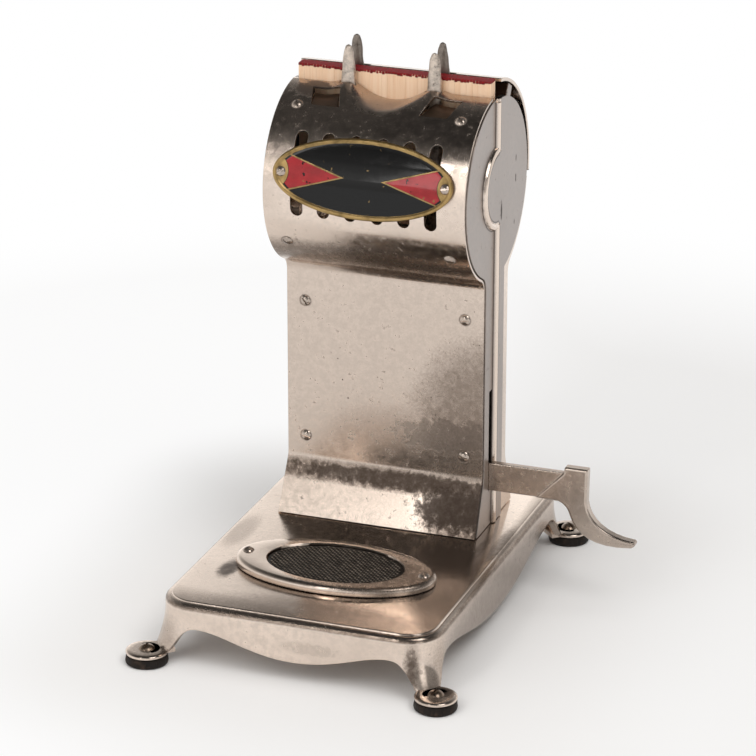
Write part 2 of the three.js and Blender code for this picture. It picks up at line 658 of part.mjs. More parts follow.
function windowTab(side) {
  const low = DRUM_RADIUS * Math.sin(radians(WINDOW_LOW_ANGLE - windowMiddle));
  const high = DRUM_RADIUS * Math.sin(radians(WINDOW_HIGH_ANGLE - windowMiddle));
  const lowY = -Math.sqrt((DRUM_RADIUS - COVER_THICKNESS / 2) ** 2 - low ** 2);
  const highY = lowY + TAB_DROP;
  const section = [[lowY - COVER_THICKNESS / 2, low - COVER_THICKNESS], [lowY + COVER_THICKNESS / 2, low - COVER_THICKNESS],
    [highY + COVER_THICKNESS / 2, high - SEAT], [highY - COVER_THICKNESS / 2, high - SEAT]];
  const strip = extrudeX(section, -COLUMN_WIDTH / 2, COLUMN_WIDTH / 2);
  const shape = windowCorners(side).map(([x, v]) => [x, v]);
  const trim = extrudeY(shape.map(([x, v]) => [x, v < 0 ? v - COVER_THICKNESS : v]), -DRUM_RADIUS - 3, -DRUM_RADIUS / 2);
  return turnedOnDrum(strip.intersect(trim), windowMiddle);
}

const coverScrewAngles = [];
for (const x of [-COVER_SCREW_X, COVER_SCREW_X]) {
  coverScrewAngles.push([x, SCREW_UP_ANGLE], [x, SCREW_DOWN_ANGLE]);
}

function namePlate() {
  const low = DRUM_RADIUS + SEAT;
  const band = (radius) => rod('x', radius, -COLUMN_WIDTH, COLUMN_WIDTH, 0, 0, 72);
  const prism = (length, width) => extrudeY(ellipse(length, width), -REAR_RADIUS * 2, -DRUM_RADIUS / 2);
  const field = cut(band(low + PLATE_THICKNESS), band(low)).intersect(prism(PLATE_LENGTH, PLATE_WIDTH));
  const ring = cut(prism(PLATE_LENGTH, PLATE_WIDTH),
    prism(PLATE_LENGTH - 2 * PLATE_RIM_WIDTH, PLATE_WIDTH - 2 * PLATE_RIM_WIDTH));
  const rim = cut(band(low + PLATE_THICKNESS + PLATE_RIM), band(low)).intersect(ring);
  const holes = [-1, 1].map((side) => rod('y', PLATE_SCREW[2] + SEAT, -REAR_RADIUS * 2, -DRUM_RADIUS / 2,
    side * PLATE_SCREW_X, 0, SHANK_ROUND));
  const seats = [-1, 1].map((side) => rod('y', PLATE_SCREW[0] + SEAT, -REAR_RADIUS * 2, -low - PLATE_THICKNESS,
    side * PLATE_SCREW_X, 0, SMALL_ROUND));
  return cut(join(field, rim), ...holes, ...seats);
}

// Side casting: a plate inside the two covers, proud behind its bead and around the drum's
// axis, with a flange for the front cover, lugs for the screws, room for the comb's end
// and a rail for the lifter. Built for the right; the left one is its mirror image.
const sideInner = COLUMN_WIDTH / 2 - SIDE_THICKNESS + 0.4;
const sideOuter = sideInner + SIDE_THICKNESS;
const sideRadius = DRUM_RADIUS - COVER_THICKNESS - SEAT;

function sideOutline() {
  const front = frontProfile(COVER_THICKNESS + SEAT, 90);
  const points = [...front];
  const end = THREE.MathUtils.radToDeg(Math.acos(SIDE_BACK / sideRadius));
  const steps = Math.ceil((90 + end) / DRUM_STEP);
  for (let i = 1; i <= steps; i += 1) {
    const angle = radians(90 - ((90 + end) * i) / steps);
    points.push([sideRadius * Math.cos(angle), DRUM_HEIGHT + sideRadius * Math.sin(angle)]);
  }
  points.push([SIDE_BACK, SEAT]);
  return points;
}

function sideCasting(hand) {
  const plate = extrudeX(sideOutline(), sideInner, sideOuter);
  const far = DRUM_HEIGHT * 2;
  const behind = box(sideOuter - 1, sideOuter + SIDE_PROUD, 0, far, -1, far);
  const lobe = rod('x', LOBE_RADIUS, sideOuter - 1, sideOuter + SIDE_PROUD, 0, DRUM_HEIGHT, LOBE_ROUND);
  const proud = extrudeX(sideOutline(), sideOuter - 1, sideOuter + SIDE_PROUD).intersect(join(behind, lobe));
  const torus = new THREE.TorusGeometry(LOBE_RADIUS, BEAD_RADIUS, SMALL_ROUND, LOBE_ROUND);
  torus.rotateY(Math.PI / 2).translate(sideOuter, 0, DRUM_HEIGHT);
  const arch = solid(torus).intersect(box(0, far, -far, 0.2, 0, far));
  const sideTop = DRUM_HEIGHT + sideRadius - 1;
  const bead = join(
    rod('z', BEAD_RADIUS, SEAT, DRUM_HEIGHT - LOBE_RADIUS, sideOuter, 0, SMALL_ROUND),
    rod('z', BEAD_RADIUS, DRUM_HEIGHT + LOBE_RADIUS, sideTop, sideOuter, 0, SMALL_ROUND), arch);
  const flangeLine = (inset) => frontProfile(COVER_THICKNESS + SEAT + inset, FLANGE_LIP_ANGLE);
  const [skin, back] = [flangeLine(0), flangeLine(FLANGE_THICKNESS)];
  const flangeXs = [sideInner - FLANGE_WIDTH, sideInner + 0.5];
  const flange = sheet(skin.length, flangeXs, (i, x) => [x, ...skin[i]], (i, x) => [x, ...back[i]]);
  const lug = (y) => box(sideInner - FOOT_LUG_WIDTH, sideInner + 0.5, y - FOOT_LUG_DEPTH / 2, y + FOOT_LUG_DEPTH / 2,
    SEAT, FOOT_LUG_HEIGHT);
  const lidStop = box(sideInner - LID_STOP_REACH, sideInner + 0.5, sideRadius - 2, LID_RADIUS - LID_THICKNESS - SEAT,
    -LID_STOP_WIDTH / 2, LID_STOP_WIDTH / 2).rotate([LID_STOP_ANGLE, 0, 0]).translate([0, 0, DRUM_HEIGHT]);
  const rail = (y0, y1) => box(sideInner - RAIL_DEPTH, sideInner + 0.5, y0, y1, RAIL_LOW, RAIL_HIGH);
  const railFront = LIFTER_Y - SLIDE;
  const railBack = LIFTER_Y + LIFTER_THICKNESS + SLIDE;
  const boss = (z) => box(sideInner - REAR_BOSS_REACH, sideInner + 0.5, railBack, COLUMN_BACK - REAR_THICKNESS - SEAT,
    z - REAR_BOSS / 2, z + REAR_BOSS / 2);
  let casting = join(plate, proud, bead, flange, lidStop, lug(BASE_SCREW_FRONT), lug(BASE_SCREW_BACK),
    rail(railFront - RAIL_WIDTH, railFront), rail(railBack, railBack + RAIL_WIDTH),
    boss(COLUMN_SCREW_LOW), boss(COLUMN_SCREW_HIGH));
  const combHalfway = COMB_THICKNESS / 2 + COMB_PLAY;
  const combRoom = box(0, sideInner, -combHalfway, combHalfway, COMB_BOTTOM - LIFT - 2, far);
  const rearCoverRoom = box(sideInner - SEAT, sideOuter * 2, SIDE_BACK, far, -1, RAIL_HIGH + REAR_BOSS / 2);
  casting = cut(casting, combRoom, rearCoverRoom);
  for (const [x, angle] of coverScrewAngles) {
    if (x < 0) continue;
    casting = cut(casting, turnedOnDrum(rod('y', COVER_SCREW[2] + SEAT, -DRUM_RADIUS, -DRUM_RADIUS * 0.8, x, 0, SHANK_ROUND), angle));
  }
  for (const z of [COLUMN_SCREW_LOW, COLUMN_SCREW_HIGH]) {
    casting = cut(casting,
      rod('y', COVER_SCREW[2] + SEAT, -COLUMN_FRONT, -COLUMN_FRONT + 6, COVER_SCREW_X, z, SHANK_ROUND),
      rod('y', COVER_SCREW[2] + SEAT, COLUMN_BACK - 6, COLUMN_BACK, COVER_SCREW_X, z, SHANK_ROUND));
  }
  for (const y of [BASE_SCREW_FRONT, BASE_SCREW_BACK]) {
    casting = cut(casting, rod('z', BASE_SCREW[2] + SEAT, -1, FOOT_LUG_HEIGHT - 1, BASE_SCREW_X, y, SHANK_ROUND));
  }
  if (hand > 0) casting = cut(casting, leverSlot());
  return hand > 0 ? casting : casting.mirror([1, 0, 0]);
}

// The slot that the lever moves in: as long as the lever's swing needs at the plate
function leverSlot() {
  const swing = radians(LEVER_TRAVEL);
  const reach = sideOuter + BEAD_RADIUS - PIVOT_X;
  const low = PIVOT_Z - LEVER_HEIGHT / 2 - SLIDE;
  const high = PIVOT_Z + reach * Math.tan(swing) + LEVER_HEIGHT / 2 / Math.cos(swing) + SLIDE;
  const half = LEVER_THICKNESS / 2 + SLIDE;
  return box(sideInner - FLANGE_WIDTH * 2, sideOuter + 5, LEVER_Y - half, LEVER_Y + half, low, high);
}

// Rear cover: the sheet behind drum and column, turned in at both sides
function rearCover() {
  const half = COLUMN_WIDTH / 2 + 0.2;
  const region = (inset, edge, radius) => {
    const points = [...rearProfile(inset)];
    const end = Math.acos(edge / radius);
    const start = radians(REAR_TOP_ANGLE);
    const steps = 12;
    for (let i = 0; i <= steps; i += 1) {
      const angle = start + ((-end - start) * i) / steps;
      points.push([radius * Math.cos(angle), DRUM_HEIGHT + radius * Math.sin(angle)]);
    }
    points.push([edge, SEAT]);
    return points;
  };
  const edge = SIDE_BACK + SEAT;
  const outer = extrudeX(region(0, edge, REAR_RADIUS - REAR_RETURN), -half, half);
  const deep = extrudeX(region(REAR_THICKNESS, edge - 2, REAR_RADIUS - REAR_RETURN - 2), -half + REAR_THICKNESS, half - REAR_THICKNESS);
  const below = box(-half + REAR_THICKNESS, half - REAR_THICKNESS, edge - 2, COLUMN_BACK - REAR_THICKNESS, -1, SEAT * 2);
  const over = box(-half + REAR_THICKNESS, half - REAR_THICKNESS, 0, REAR_RADIUS - REAR_THICKNESS - 0.3,
    DRUM_HEIGHT - 8, DRUM_HEIGHT);
  let cover = cut(outer, deep, below, over);
  for (const side of [-1, 1]) {
    for (const z of [COLUMN_SCREW_LOW, COLUMN_SCREW_HIGH]) {
      cover = cut(cover, rod('y', COVER_SCREW[2] + SEAT, COLUMN_BACK - 2, COLUMN_BACK + 2, side * COVER_SCREW_X, z, SHANK_ROUND));
    }
  }
  return addKnuckles(cover, 0);
}

// Hinge knuckles stand in turn on the rear cover (even) and on the lid (odd)
function knuckle(place, radius, grow = 0) {
  const pitch = KNUCKLE_LENGTH + KNUCKLE_GAP;
  const middle = (place - (KNUCKLE_COUNT - 1) / 2) * pitch;
  const half = KNUCKLE_LENGTH / 2 + grow;
  return rod('x', radius, middle - half, middle + half, HINGE_Y, DRUM_HEIGHT + HINGE_Z, SMALL_ROUND);
}

function addKnuckles(body, parity) {
  let whole = body;
  for (let place = 0; place < KNUCKLE_COUNT; place += 1) {
    if (place % 2 === parity) whole = join(whole, knuckle(place, KNUCKLE_RADIUS));
  }
  for (let place = 0; place < KNUCKLE_COUNT; place += 1) {
    if (place % 2 !== parity) whole = cut(whole, knuckle(place, KNUCKLE_RADIUS + SLIDE, KNUCKLE_GAP));
  }
  return cut(whole, rod('x', HINGE_PIN_RADIUS + RUNNING, -COLUMN_WIDTH, COLUMN_WIDTH, HINGE_Y, DRUM_HEIGHT + HINGE_Z));
}

function lid() {
  const half = COLUMN_WIDTH / 2 + 0.2;
  const steps = Math.ceil((LID_HIGH_ANGLE - LID_LOW_ANGLE) / DRUM_STEP) + 1;
  const arc = (radius) => (i, x) => {
    const angle = radians(LID_LOW_ANGLE + ((LID_HIGH_ANGLE - LID_LOW_ANGLE) * i) / (steps - 1));
    return [x, radius * Math.cos(angle), DRUM_HEIGHT + radius * Math.sin(angle)];
  };
  let body = sheet(steps, [half, -half], arc(LID_RADIUS), arc(LID_RADIUS - LID_THICKNESS));
  const edge = LID_RADIUS * Math.cos(radians(LID_HIGH_ANGLE));
  for (const side of [-1, 1]) {
    const x = side * FORK_X;
    body = cut(body, box(x - LID_NOTCH_WIDTH / 2, x + LID_NOTCH_WIDTH / 2, 0, edge + LID_NOTCH_DEPTH,
      DRUM_HEIGHT, DRUM_HEIGHT + LID_RADIUS * 2));
  }
  return addKnuckles(body, 1);
}

function hingePin() {
  const half = (KNUCKLE_COUNT * (KNUCKLE_LENGTH + KNUCKLE_GAP)) / 2;
  return rod('x', HINGE_PIN_RADIUS, -half, half, HINGE_Y, DRUM_HEIGHT + HINGE_Z);
}

// Lever, drawn about its pivot: a flat bar with a crank end and a thicker thumb piece
function lever() {
  const half = LEVER_HEIGHT / 2;
  const tipHalf = LEVER_TIP_HEIGHT / 2;
  const scale = THUMB_DROP / 18.9;
  const at = (x, z) => [LEVER_LENGTH + x * scale, z * scale];
  const bar = new THREE.Shape();
  bar.moveTo(-CRANK_LENGTH, tipHalf);
  bar.absarc(-CRANK_LENGTH, 0, tipHalf, Math.PI / 2, 1.5 * Math.PI);
  bar.lineTo(-half, -half);
  bar.lineTo(LEVER_LENGTH - 6 * scale, -half);
  bar.lineTo(LEVER_LENGTH + 2 * scale, half);
  bar.lineTo(-half, half);
  bar.closePath();
  const thumb = new THREE.Shape();
  thumb.moveTo(LEVER_LENGTH - 9 * scale, -half);
  thumb.lineTo(LEVER_LENGTH + 0.4 * scale, half);
  thumb.lineTo(LEVER_LENGTH + 0.8 * scale, half + 2.3 * scale);
  thumb.lineTo(LEVER_LENGTH + 8.9 * scale, half + 2.3 * scale);
  thumb.lineTo(...at(8.7, -4.5));
  thumb.bezierCurveTo(...at(9.5, -11), ...at(15, -15.9), ...at(25.3, -16.6));
  thumb.quadraticCurveTo(...at(26.8, -17.6), ...at(24.6, -18.9));
  thumb.bezierCurveTo(...at(11, -20.8), ...at(5, -16.5), ...at(2.8, -9.8));
  thumb.quadraticCurveTo(...at(1.6, -6), LEVER_LENGTH - 1.5 * scale, -half - 0.3);
  thumb.closePath();
  const flatBar = extrudeY(bar, -LEVER_THICKNESS / 2, LEVER_THICKNESS / 2);
  const bevelled = new THREE.ExtrudeGeometry(thumb, { depth: THUMB_THICKNESS - 2 * THUMB_BEVEL, bevelSegments: 1,
    bevelSize: THUMB_BEVEL, bevelOffset: -THUMB_BEVEL, bevelThickness: THUMB_BEVEL, curveSegments: 8 });
  bevelled.applyMatrix4(alongY).translate(0, THUMB_THICKNESS / 2 - THUMB_BEVEL, 0);
  const bores = [rod('y', PIVOT_RADIUS + RUNNING, -5, 5, 0, 0), rod('y', DRIVE_RADIUS + RUNNING, -5, 5, -CRANK_LENGTH, 0)];
  return cut(join(flatBar, solid(bevelled)), ...bores);
}

// The drive pin sits in the crank end and reaches back through the lifter's slot
function drivePin() {
  const back = LIFTER_Y + LIFTER_THICKNESS - LEVER_Y + 1;
  const front = -LEVER_THICKNESS / 2 - SEAT;
  return join(rod('y', DRIVE_RADIUS, front - 1, back, -CRANK_LENGTH, 0),
    rod('y', DRIVE_RADIUS + 1, front - 1.2, front, -CRANK_LENGTH, 0));
}

const bracketScrewXs = [PIVOT_X + 9, PIVOT_X + 15];
const earFront = LEVER_Y - LEVER_THICKNESS / 2 - SLIDE - BRACKET_WALL;
const earBack = LEVER_Y + LEVER_THICKNESS / 2 + SLIDE + BRACKET_WALL;

function pivotBracket() {
  const half = BRACKET_WIDTH / 2;
  const ear = new THREE.Shape();
  ear.moveTo(PIVOT_X - half, SEAT);
  ear.lineTo(PIVOT_X + half, SEAT);
  ear.absarc(PIVOT_X, PIVOT_Z, half, 0, Math.PI);
  ear.closePath();
  const gap = LEVER_THICKNESS / 2 + SLIDE;
  const block = extrudeY(ear, earFront, earBack);
  const mouth = box(PIVOT_X - half - 1, PIVOT_X + half + 1, LEVER_Y - gap, LEVER_Y + gap, SEAT + BRACKET_BASE, PIVOT_Z + BRACKET_WIDTH);
  const toe = box(PIVOT_X, PIVOT_X + BRACKET_TOE, earFront, earBack, SEAT, SEAT + BRACKET_BASE);
  const holes = bracketScrewXs.map((x) => rod('z', BRACKET_SCREW[2] + SEAT, 0, BRACKET_BASE * 2, x, LEVER_Y, SHANK_ROUND));
  const bore = rod('y', PIVOT_RADIUS + RUNNING, earFront - 1, earBack + 1, PIVOT_X, PIVOT_Z);
  return cut(join(cut(block, mouth), toe), bore, ...holes);
}

function pivotPin() {
  return join(rod('y', PIVOT_RADIUS, earFront - 1.4, earBack, PIVOT_X, PIVOT_Z),
    rod('y', PIVOT_RADIUS + 1.2, earFront - SEAT - 1.3, earFront - SEAT, PIVOT_X, PIVOT_Z));
}

// Lifter: a light plate frame that runs in the rails of both side castings
const driveX = PIVOT_X - CRANK_LENGTH;
const slotHalf = DRIVE_RADIUS + DRIVE_PLAY;
const lifterLow = PIVOT_Z - slotHalf - LIFTER_STRIP;
const lifterHigh = COMB_BOTTOM - COMB_SEAT - FORK_BASE - SEAT;

function lifterPlate() {
  const half = LIFTER_WIDTH / 2;
  const back = LIFTER_Y + LIFTER_THICKNESS;
  const drift = CRANK_LENGTH * (1 - Math.cos(radians(LEVER_TRAVEL)));
  const sheetPlate = box(-half, half, LIFTER_Y, back, lifterLow, lifterHigh);
  const windowLow = PIVOT_Z + slotHalf + LIFTER_BORDER;
  const opening = box(-half + LIFTER_BORDER, half - LIFTER_BORDER, LIFTER_Y - 1, back + 1, windowLow,
    lifterHigh - 2 * LIFTER_BORDER);
  const shoulders = [-1, 1].map((side) => box(side > 0 ? YOKE_WIDTH / 2 : -half - 1, side > 0 ? half + 1 : -YOKE_WIDTH / 2,
    LIFTER_Y - 1, back + 1, lifterHigh - LIFTER_BORDER, lifterHigh + 1));
  const slot = new THREE.Shape();
  slot.absarc(driveX - DRIVE_PLAY, PIVOT_Z, slotHalf, Math.PI / 2, 1.5 * Math.PI);
  slot.absarc(driveX + drift + DRIVE_PLAY, PIVOT_Z, slotHalf, -Math.PI / 2, Math.PI / 2);
  const driveSlot = extrudeY(slot, LIFTER_Y - 1, back + 1);
  const rivetHoles = [-1, 1].map((side) => rod('y', RIVET_RADIUS + RUNNING, LIFTER_Y - 1, back + 1,
    side * RIVET_X, lifterHigh - YOKE_HEIGHT / 2));
  return cut(sheetPlate, opening, driveSlot, ...shoulders, ...rivetHoles);
}

function yoke() {
  const half = YOKE_WIDTH / 2;
  const bar = box(-half, half, -YOKE_FRONT, LIFTER_Y - SEAT, lifterHigh - YOKE_HEIGHT, lifterHigh);
  const holes = [];
  for (const side of [-1, 1]) {
    holes.push(rod('z', PEG_RADIUS + RUNNING, lifterHigh - YOKE_HEIGHT - 1, lifterHigh + 1, side * FORK_X, -1.2));
    holes.push(rod('y', RIVET_RADIUS + RUNNING, -YOKE_FRONT - 1, LIFTER_Y + 1, side * RIVET_X, lifterHigh - YOKE_HEIGHT / 2));
  }
  return cut(bar, ...holes);
}

function rivet() {
  const back = LIFTER_Y + LIFTER_THICKNESS + SEAT;
  return join(rod('y', RIVET_RADIUS, -YOKE_FRONT + 0.5, back + 0.5, 0, 0), rod('y', RIVET_RADIUS + 0.8, back, back + 0.9, 0, 0));
}

// Fork: two blunt prongs on a cradle that the comb stands in
function prong(top) {
  const low = COMB_BOTTOM - COMB_SEAT - 1;
  const half = PRONG_WIDTH / 2;
  const profile = [[0, low], [half, low], [half, top - 13], [half * 0.86, top - 6], [half * 0.66, top - 2.2],
    [half * 0.36, top - 0.5], [0, top]].map(([r, z]) => new THREE.Vector2(r, z));
  const body = new THREE.LatheGeometry(profile, SMALL_ROUND);
  body.rotateX(Math.PI / 2).scale(1, PRONG_THICKNESS / PRONG_WIDTH, 1);
  return solid(body);
}

function fork() {
  const cradleTop = COMB_BOTTOM - COMB_SEAT;
  const cradleLow = cradleTop - FORK_BASE;
  const offset = COMB_THICKNESS / 2 + COMB_PLAY + PRONG_THICKNESS / 2;
  const reach = offset + PRONG_THICKNESS / 2;
  const cradle = box(-PRONG_WIDTH / 2, PRONG_WIDTH / 2, -reach, reach, cradleLow, cradleTop);
  const front = prong(PRONG_FRONT_TOP).translate([0, -offset, 0]);
  const rear = prong(PRONG_REAR_TOP).translate([0, offset, 0]);
  const peg = rod('z', PEG_RADIUS, cradleLow - YOKE_HEIGHT, cradleLow + 1, 0, -1.2);
  return join(cradle, front, rear, peg);
}

// The pieces, group by group
const dispenser = new THREE.Group();
const standing = new THREE.Group();
dispenser.add(standing);

standing.add(piece('base_casting', baseCasting(), nickel));
for (const [place, sx, sy] of corners) {
  const foot = piece(`rubber_foot_${place}`, rubberFoot(), rubber);
  foot.position.set(sx * footX, sy * footY, 0);
  standing.add(foot);
  standing.add(screw(`foot_screw_${place}`, FOOT_SCREW, [sx * footX, sy * footY, footHigh + SEAT],
    [0, 0, radians(90)], darkNickel));
}

const striker = new THREE.Group();
striker.position.set(0, STRIKER_Y, BASE_TOP + SEAT);
striker.add(piece('striker_frame', strikerFrame(), nickel));
const pad = piece('striker_pad', strikerPad(), darkNickel);
pad.position.z = STRIKER_HEIGHT - STRIKER_PAD_THICKNESS - STRIKER_LIP + SEAT;
striker.add(pad);
for (const [place, side] of [['left', -1], ['right', 1]]) {
  striker.add(screw(`striker_screw_${place}`, STRIKER_SCREW, [side * STRIKER_SCREW_X, 0, STRIKER_HEIGHT + SEAT],
    [0, 0, radians(side * 35)]));
}
standing.add(striker);

const column = new THREE.Group();
column.position.set(0, SEAM_Y, BASE_TOP);
standing.add(column);
column.add(piece('side_casting_left', sideCasting(-1), nickel));
column.add(piece('side_casting_right', sideCasting(1), nickel));
column.add(piece('front_cover', frontCover(), nickel));
column.add(piece('rear_cover', rearCover(), nickel));
column.add(piece('rear_lid', lid(), nickel));
column.add(piece('lid_hinge_pin', hingePin(), steel));

const drum = new THREE.Group();
drum.position.z = DRUM_HEIGHT;
column.add(drum);
const plate = new THREE.Group();
plate.rotation.x = -radians(PLATE_ANGLE);
drum.add(plate);
plate.add(piece('name_plate', namePlate(), brass));
const plateFace = DRUM_RADIUS + SEAT + PLATE_THICKNESS + SEAT;
for (const [place, side] of [['left', -1], ['right', 1]]) {
  plate.add(screw(`plate_screw_${place}`, PLATE_SCREW, [side * PLATE_SCREW_X, -plateFace, 0], [Math.PI / 2, 0, 0]));
}
for (const [height, angle] of [['upper', SCREW_UP_ANGLE], ['lower', SCREW_DOWN_ANGLE]]) {
  const ring = new THREE.Group();
  ring.rotation.x = -radians(angle);
  drum.add(ring);
  for (const [place, side] of [['left', -1], ['right', 1]]) {
    ring.add(screw(`drum_screw_${height}_${place}`, COVER_SCREW,
      [side * COVER_SCREW_X, -DRUM_RADIUS - SEAT, 0], [Math.PI / 2, 0, 0]));
  }
}
for (const [height, z] of [['upper', COLUMN_SCREW_HIGH], ['lower', COLUMN_SCREW_LOW]]) {
  for (const [place, side] of [['left', -1], ['right', 1]]) {
    column.add(screw(`column_screw_${height}_${place}`, COVER_SCREW,
      [side * COVER_SCREW_X, -COLUMN_FRONT - SEAT, z], [Math.PI / 2, 0, 0]));
    column.add(screw(`rear_screw_${height}_${place}`, COVER_SCREW,
      [side * COVER_SCREW_X, COLUMN_BACK + SEAT, z], [-Math.PI / 2, 0, 0]));
  }
}
for (const [place, y] of [['front', BASE_SCREW_FRONT], ['rear', BASE_SCREW_BACK]]) {
  for (const [hand, side] of [['left', -1], ['right', 1]]) {
    column.add(screw(`base_screw_${place}_${hand}`, BASE_SCREW,
      [side * BASE_SCREW_X, y, -PANEL_THICKNESS - SEAT], [Math.PI, 0, 0], steel));
  }
}

column.add(piece('pivot_bracket', pivotBracket(), steel));
column.add(piece('pivot_pin', pivotPin(), steel));
bracketScrewXs.forEach((x, i) => {
  column.add(screw(`bracket_screw_${i + 1}`, BRACKET_SCREW, [x, LEVER_Y, 2 * SEAT + BRACKET_BASE], [0, 0, 0], steel));
});

const leverGroup = new THREE.Group();
leverGroup.position.set(PIVOT_X, LEVER_Y, PIVOT_Z);
column.add(leverGroup);
leverGroup.add(piece('lever', lever(), nickel));
leverGroup.add(piece('drive_pin', drivePin(), steel));

const lifter = new THREE.Group();
column.add(lifter);
lifter.add(piece('lifter_plate', lifterPlate(), steel));
lifter.add(piece('fork_yoke', yoke(), steel));
for (const [place, side] of [['left', -1], ['right', 1]]) {
  const forkPiece = piece(`fork_${place}`, fork(), frosted);
  forkPiece.position.x = side * FORK_X;
  lifter.add(forkPiece);
  const rivetPiece = piece(`yoke_rivet_${place}`, rivet(), steel);
  rivetPiece.position.set(side * RIVET_X, 0, lifterHigh - YOKE_HEIGHT / 2);
  lifter.add(rivetPiece);
}

const combHalf = COMB_WIDTH / 2;
const combDeep = COMB_THICKNESS / 2;
lifter.add(piece('match_comb', box(COMB_OFFSET - combHalf, COMB_OFFSET + combHalf, -combDeep, combDeep, COMB_BOTTOM, COMB_TOP), wood));

// The origin goes under the middle of the overall box
const overall = new THREE.Box3().setFromObject(dispenser);
standing.position.set(-(overall.min.x + overall.max.x) / 2, -(overall.min.y + overall.max.y) / 2, -overall.min.z);

export default dispenser;
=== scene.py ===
"""Match dispenser in worn nickel plate: the looks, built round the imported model."""
import math
import random

import bmesh
import bpy
import numpy as np
from mathutils import Matrix, Vector
from mathutils.geometry import delaunay_2d_cdt


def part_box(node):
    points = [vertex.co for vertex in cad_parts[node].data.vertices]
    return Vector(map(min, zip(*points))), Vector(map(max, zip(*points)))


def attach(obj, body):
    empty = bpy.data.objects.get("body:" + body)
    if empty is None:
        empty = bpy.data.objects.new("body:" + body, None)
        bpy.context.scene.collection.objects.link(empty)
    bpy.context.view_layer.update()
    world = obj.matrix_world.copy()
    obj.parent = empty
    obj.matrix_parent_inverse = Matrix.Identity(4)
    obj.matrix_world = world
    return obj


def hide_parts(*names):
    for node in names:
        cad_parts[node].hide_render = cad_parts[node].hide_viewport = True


bl_info = {
    "name": "Match Dispenser",
    "version": (1, 0, 0),
    "blender": (4, 5, 0),
    "location": "3D View > Sidebar > Dispenser",
    "description": "Builds the surfaces and finishes of a counter match dispenser",
    "category": "Object",
}

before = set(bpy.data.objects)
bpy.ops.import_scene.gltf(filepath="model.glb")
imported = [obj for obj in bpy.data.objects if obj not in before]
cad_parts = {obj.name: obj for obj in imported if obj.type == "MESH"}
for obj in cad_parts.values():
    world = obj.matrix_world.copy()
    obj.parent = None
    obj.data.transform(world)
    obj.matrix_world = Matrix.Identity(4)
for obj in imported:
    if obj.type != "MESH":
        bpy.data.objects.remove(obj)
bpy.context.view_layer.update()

# Shapes are drawn in millimetres. The base is centred on x = 0, and CENTRE_X moves it to its place.
MM = 0.001
FULL_TURN = 2 * math.pi
LOW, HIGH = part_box("base_casting")
CENTRE_X = (LOW.x + HIGH.x) / 2
SEAT = 0.3
SEAM_Y = 28.6
BASE_TOP = 22.0
RUBBER_HEIGHT = 3.2
FOOT_OUT = 2.0
STRIKER_Y = -29.0
COLUMN_HALF = 35.0
COVER_THICKNESS = 0.9
LOBE_RADIUS = 13
FORK_X = 15.0
COMB_HALF = 2.35
PLATE_ANGLE = 14.6

# Drum angles, up from the front in degrees, and heights over the base
SCREW_X = 28.4
DRUM_SCREWS = (("upper", 58.2), ("lower", -33.3))
COLUMN_SCREWS = (("upper", 76.0), ("lower", 27.0))
WINDOW_LOW, WINDOW_HIGH = 59.0, 76.0
SLOT_LOW, SLOT_HIGH = -12.3, 40.3
NOTCH_LOW, LIP = 80.2, 84.4

# Screws: head radius and height, shank radius and length
COVER_SCREW = (1.9, 0.95, 1.0, 2.8)
PLATE_SCREW = (1.8, 1.0, 0.8, 1.6)
STRIKER_SCREW = (2.0, 1.1, 1.1, 2.8)
FOOT_SCREW = (2.7, 1.5, 1.4, 3.6)
BASE_SCREW = (3.0, 1.8, 1.5, 7.0)
BRACKET_SCREW = (2.2, 1.3, 1.2, 4.0)

HANDS = (("left", -1), ("right", 1))
CORNERS = {"front_left": (-1, -1), "front_right": (1, -1), "rear_left": (-1, 1), "rear_right": (1, 1)}
QUARTERS = ((1, 1), (-1, 1), (-1, -1), (1, -1))


def length(name, description, default):
    """A length in metres whose default is given in millimetres"""
    return bpy.props.FloatProperty(name=name, description=description, default=default * MM, min=0.0,
                                   unit="LENGTH", subtype="DISTANCE", precision=5)


def tint(name, description, default):
    return bpy.props.FloatVectorProperty(name=name, description=description, default=default, size=3,
                                         min=0.0, max=1.0, subtype="COLOR")


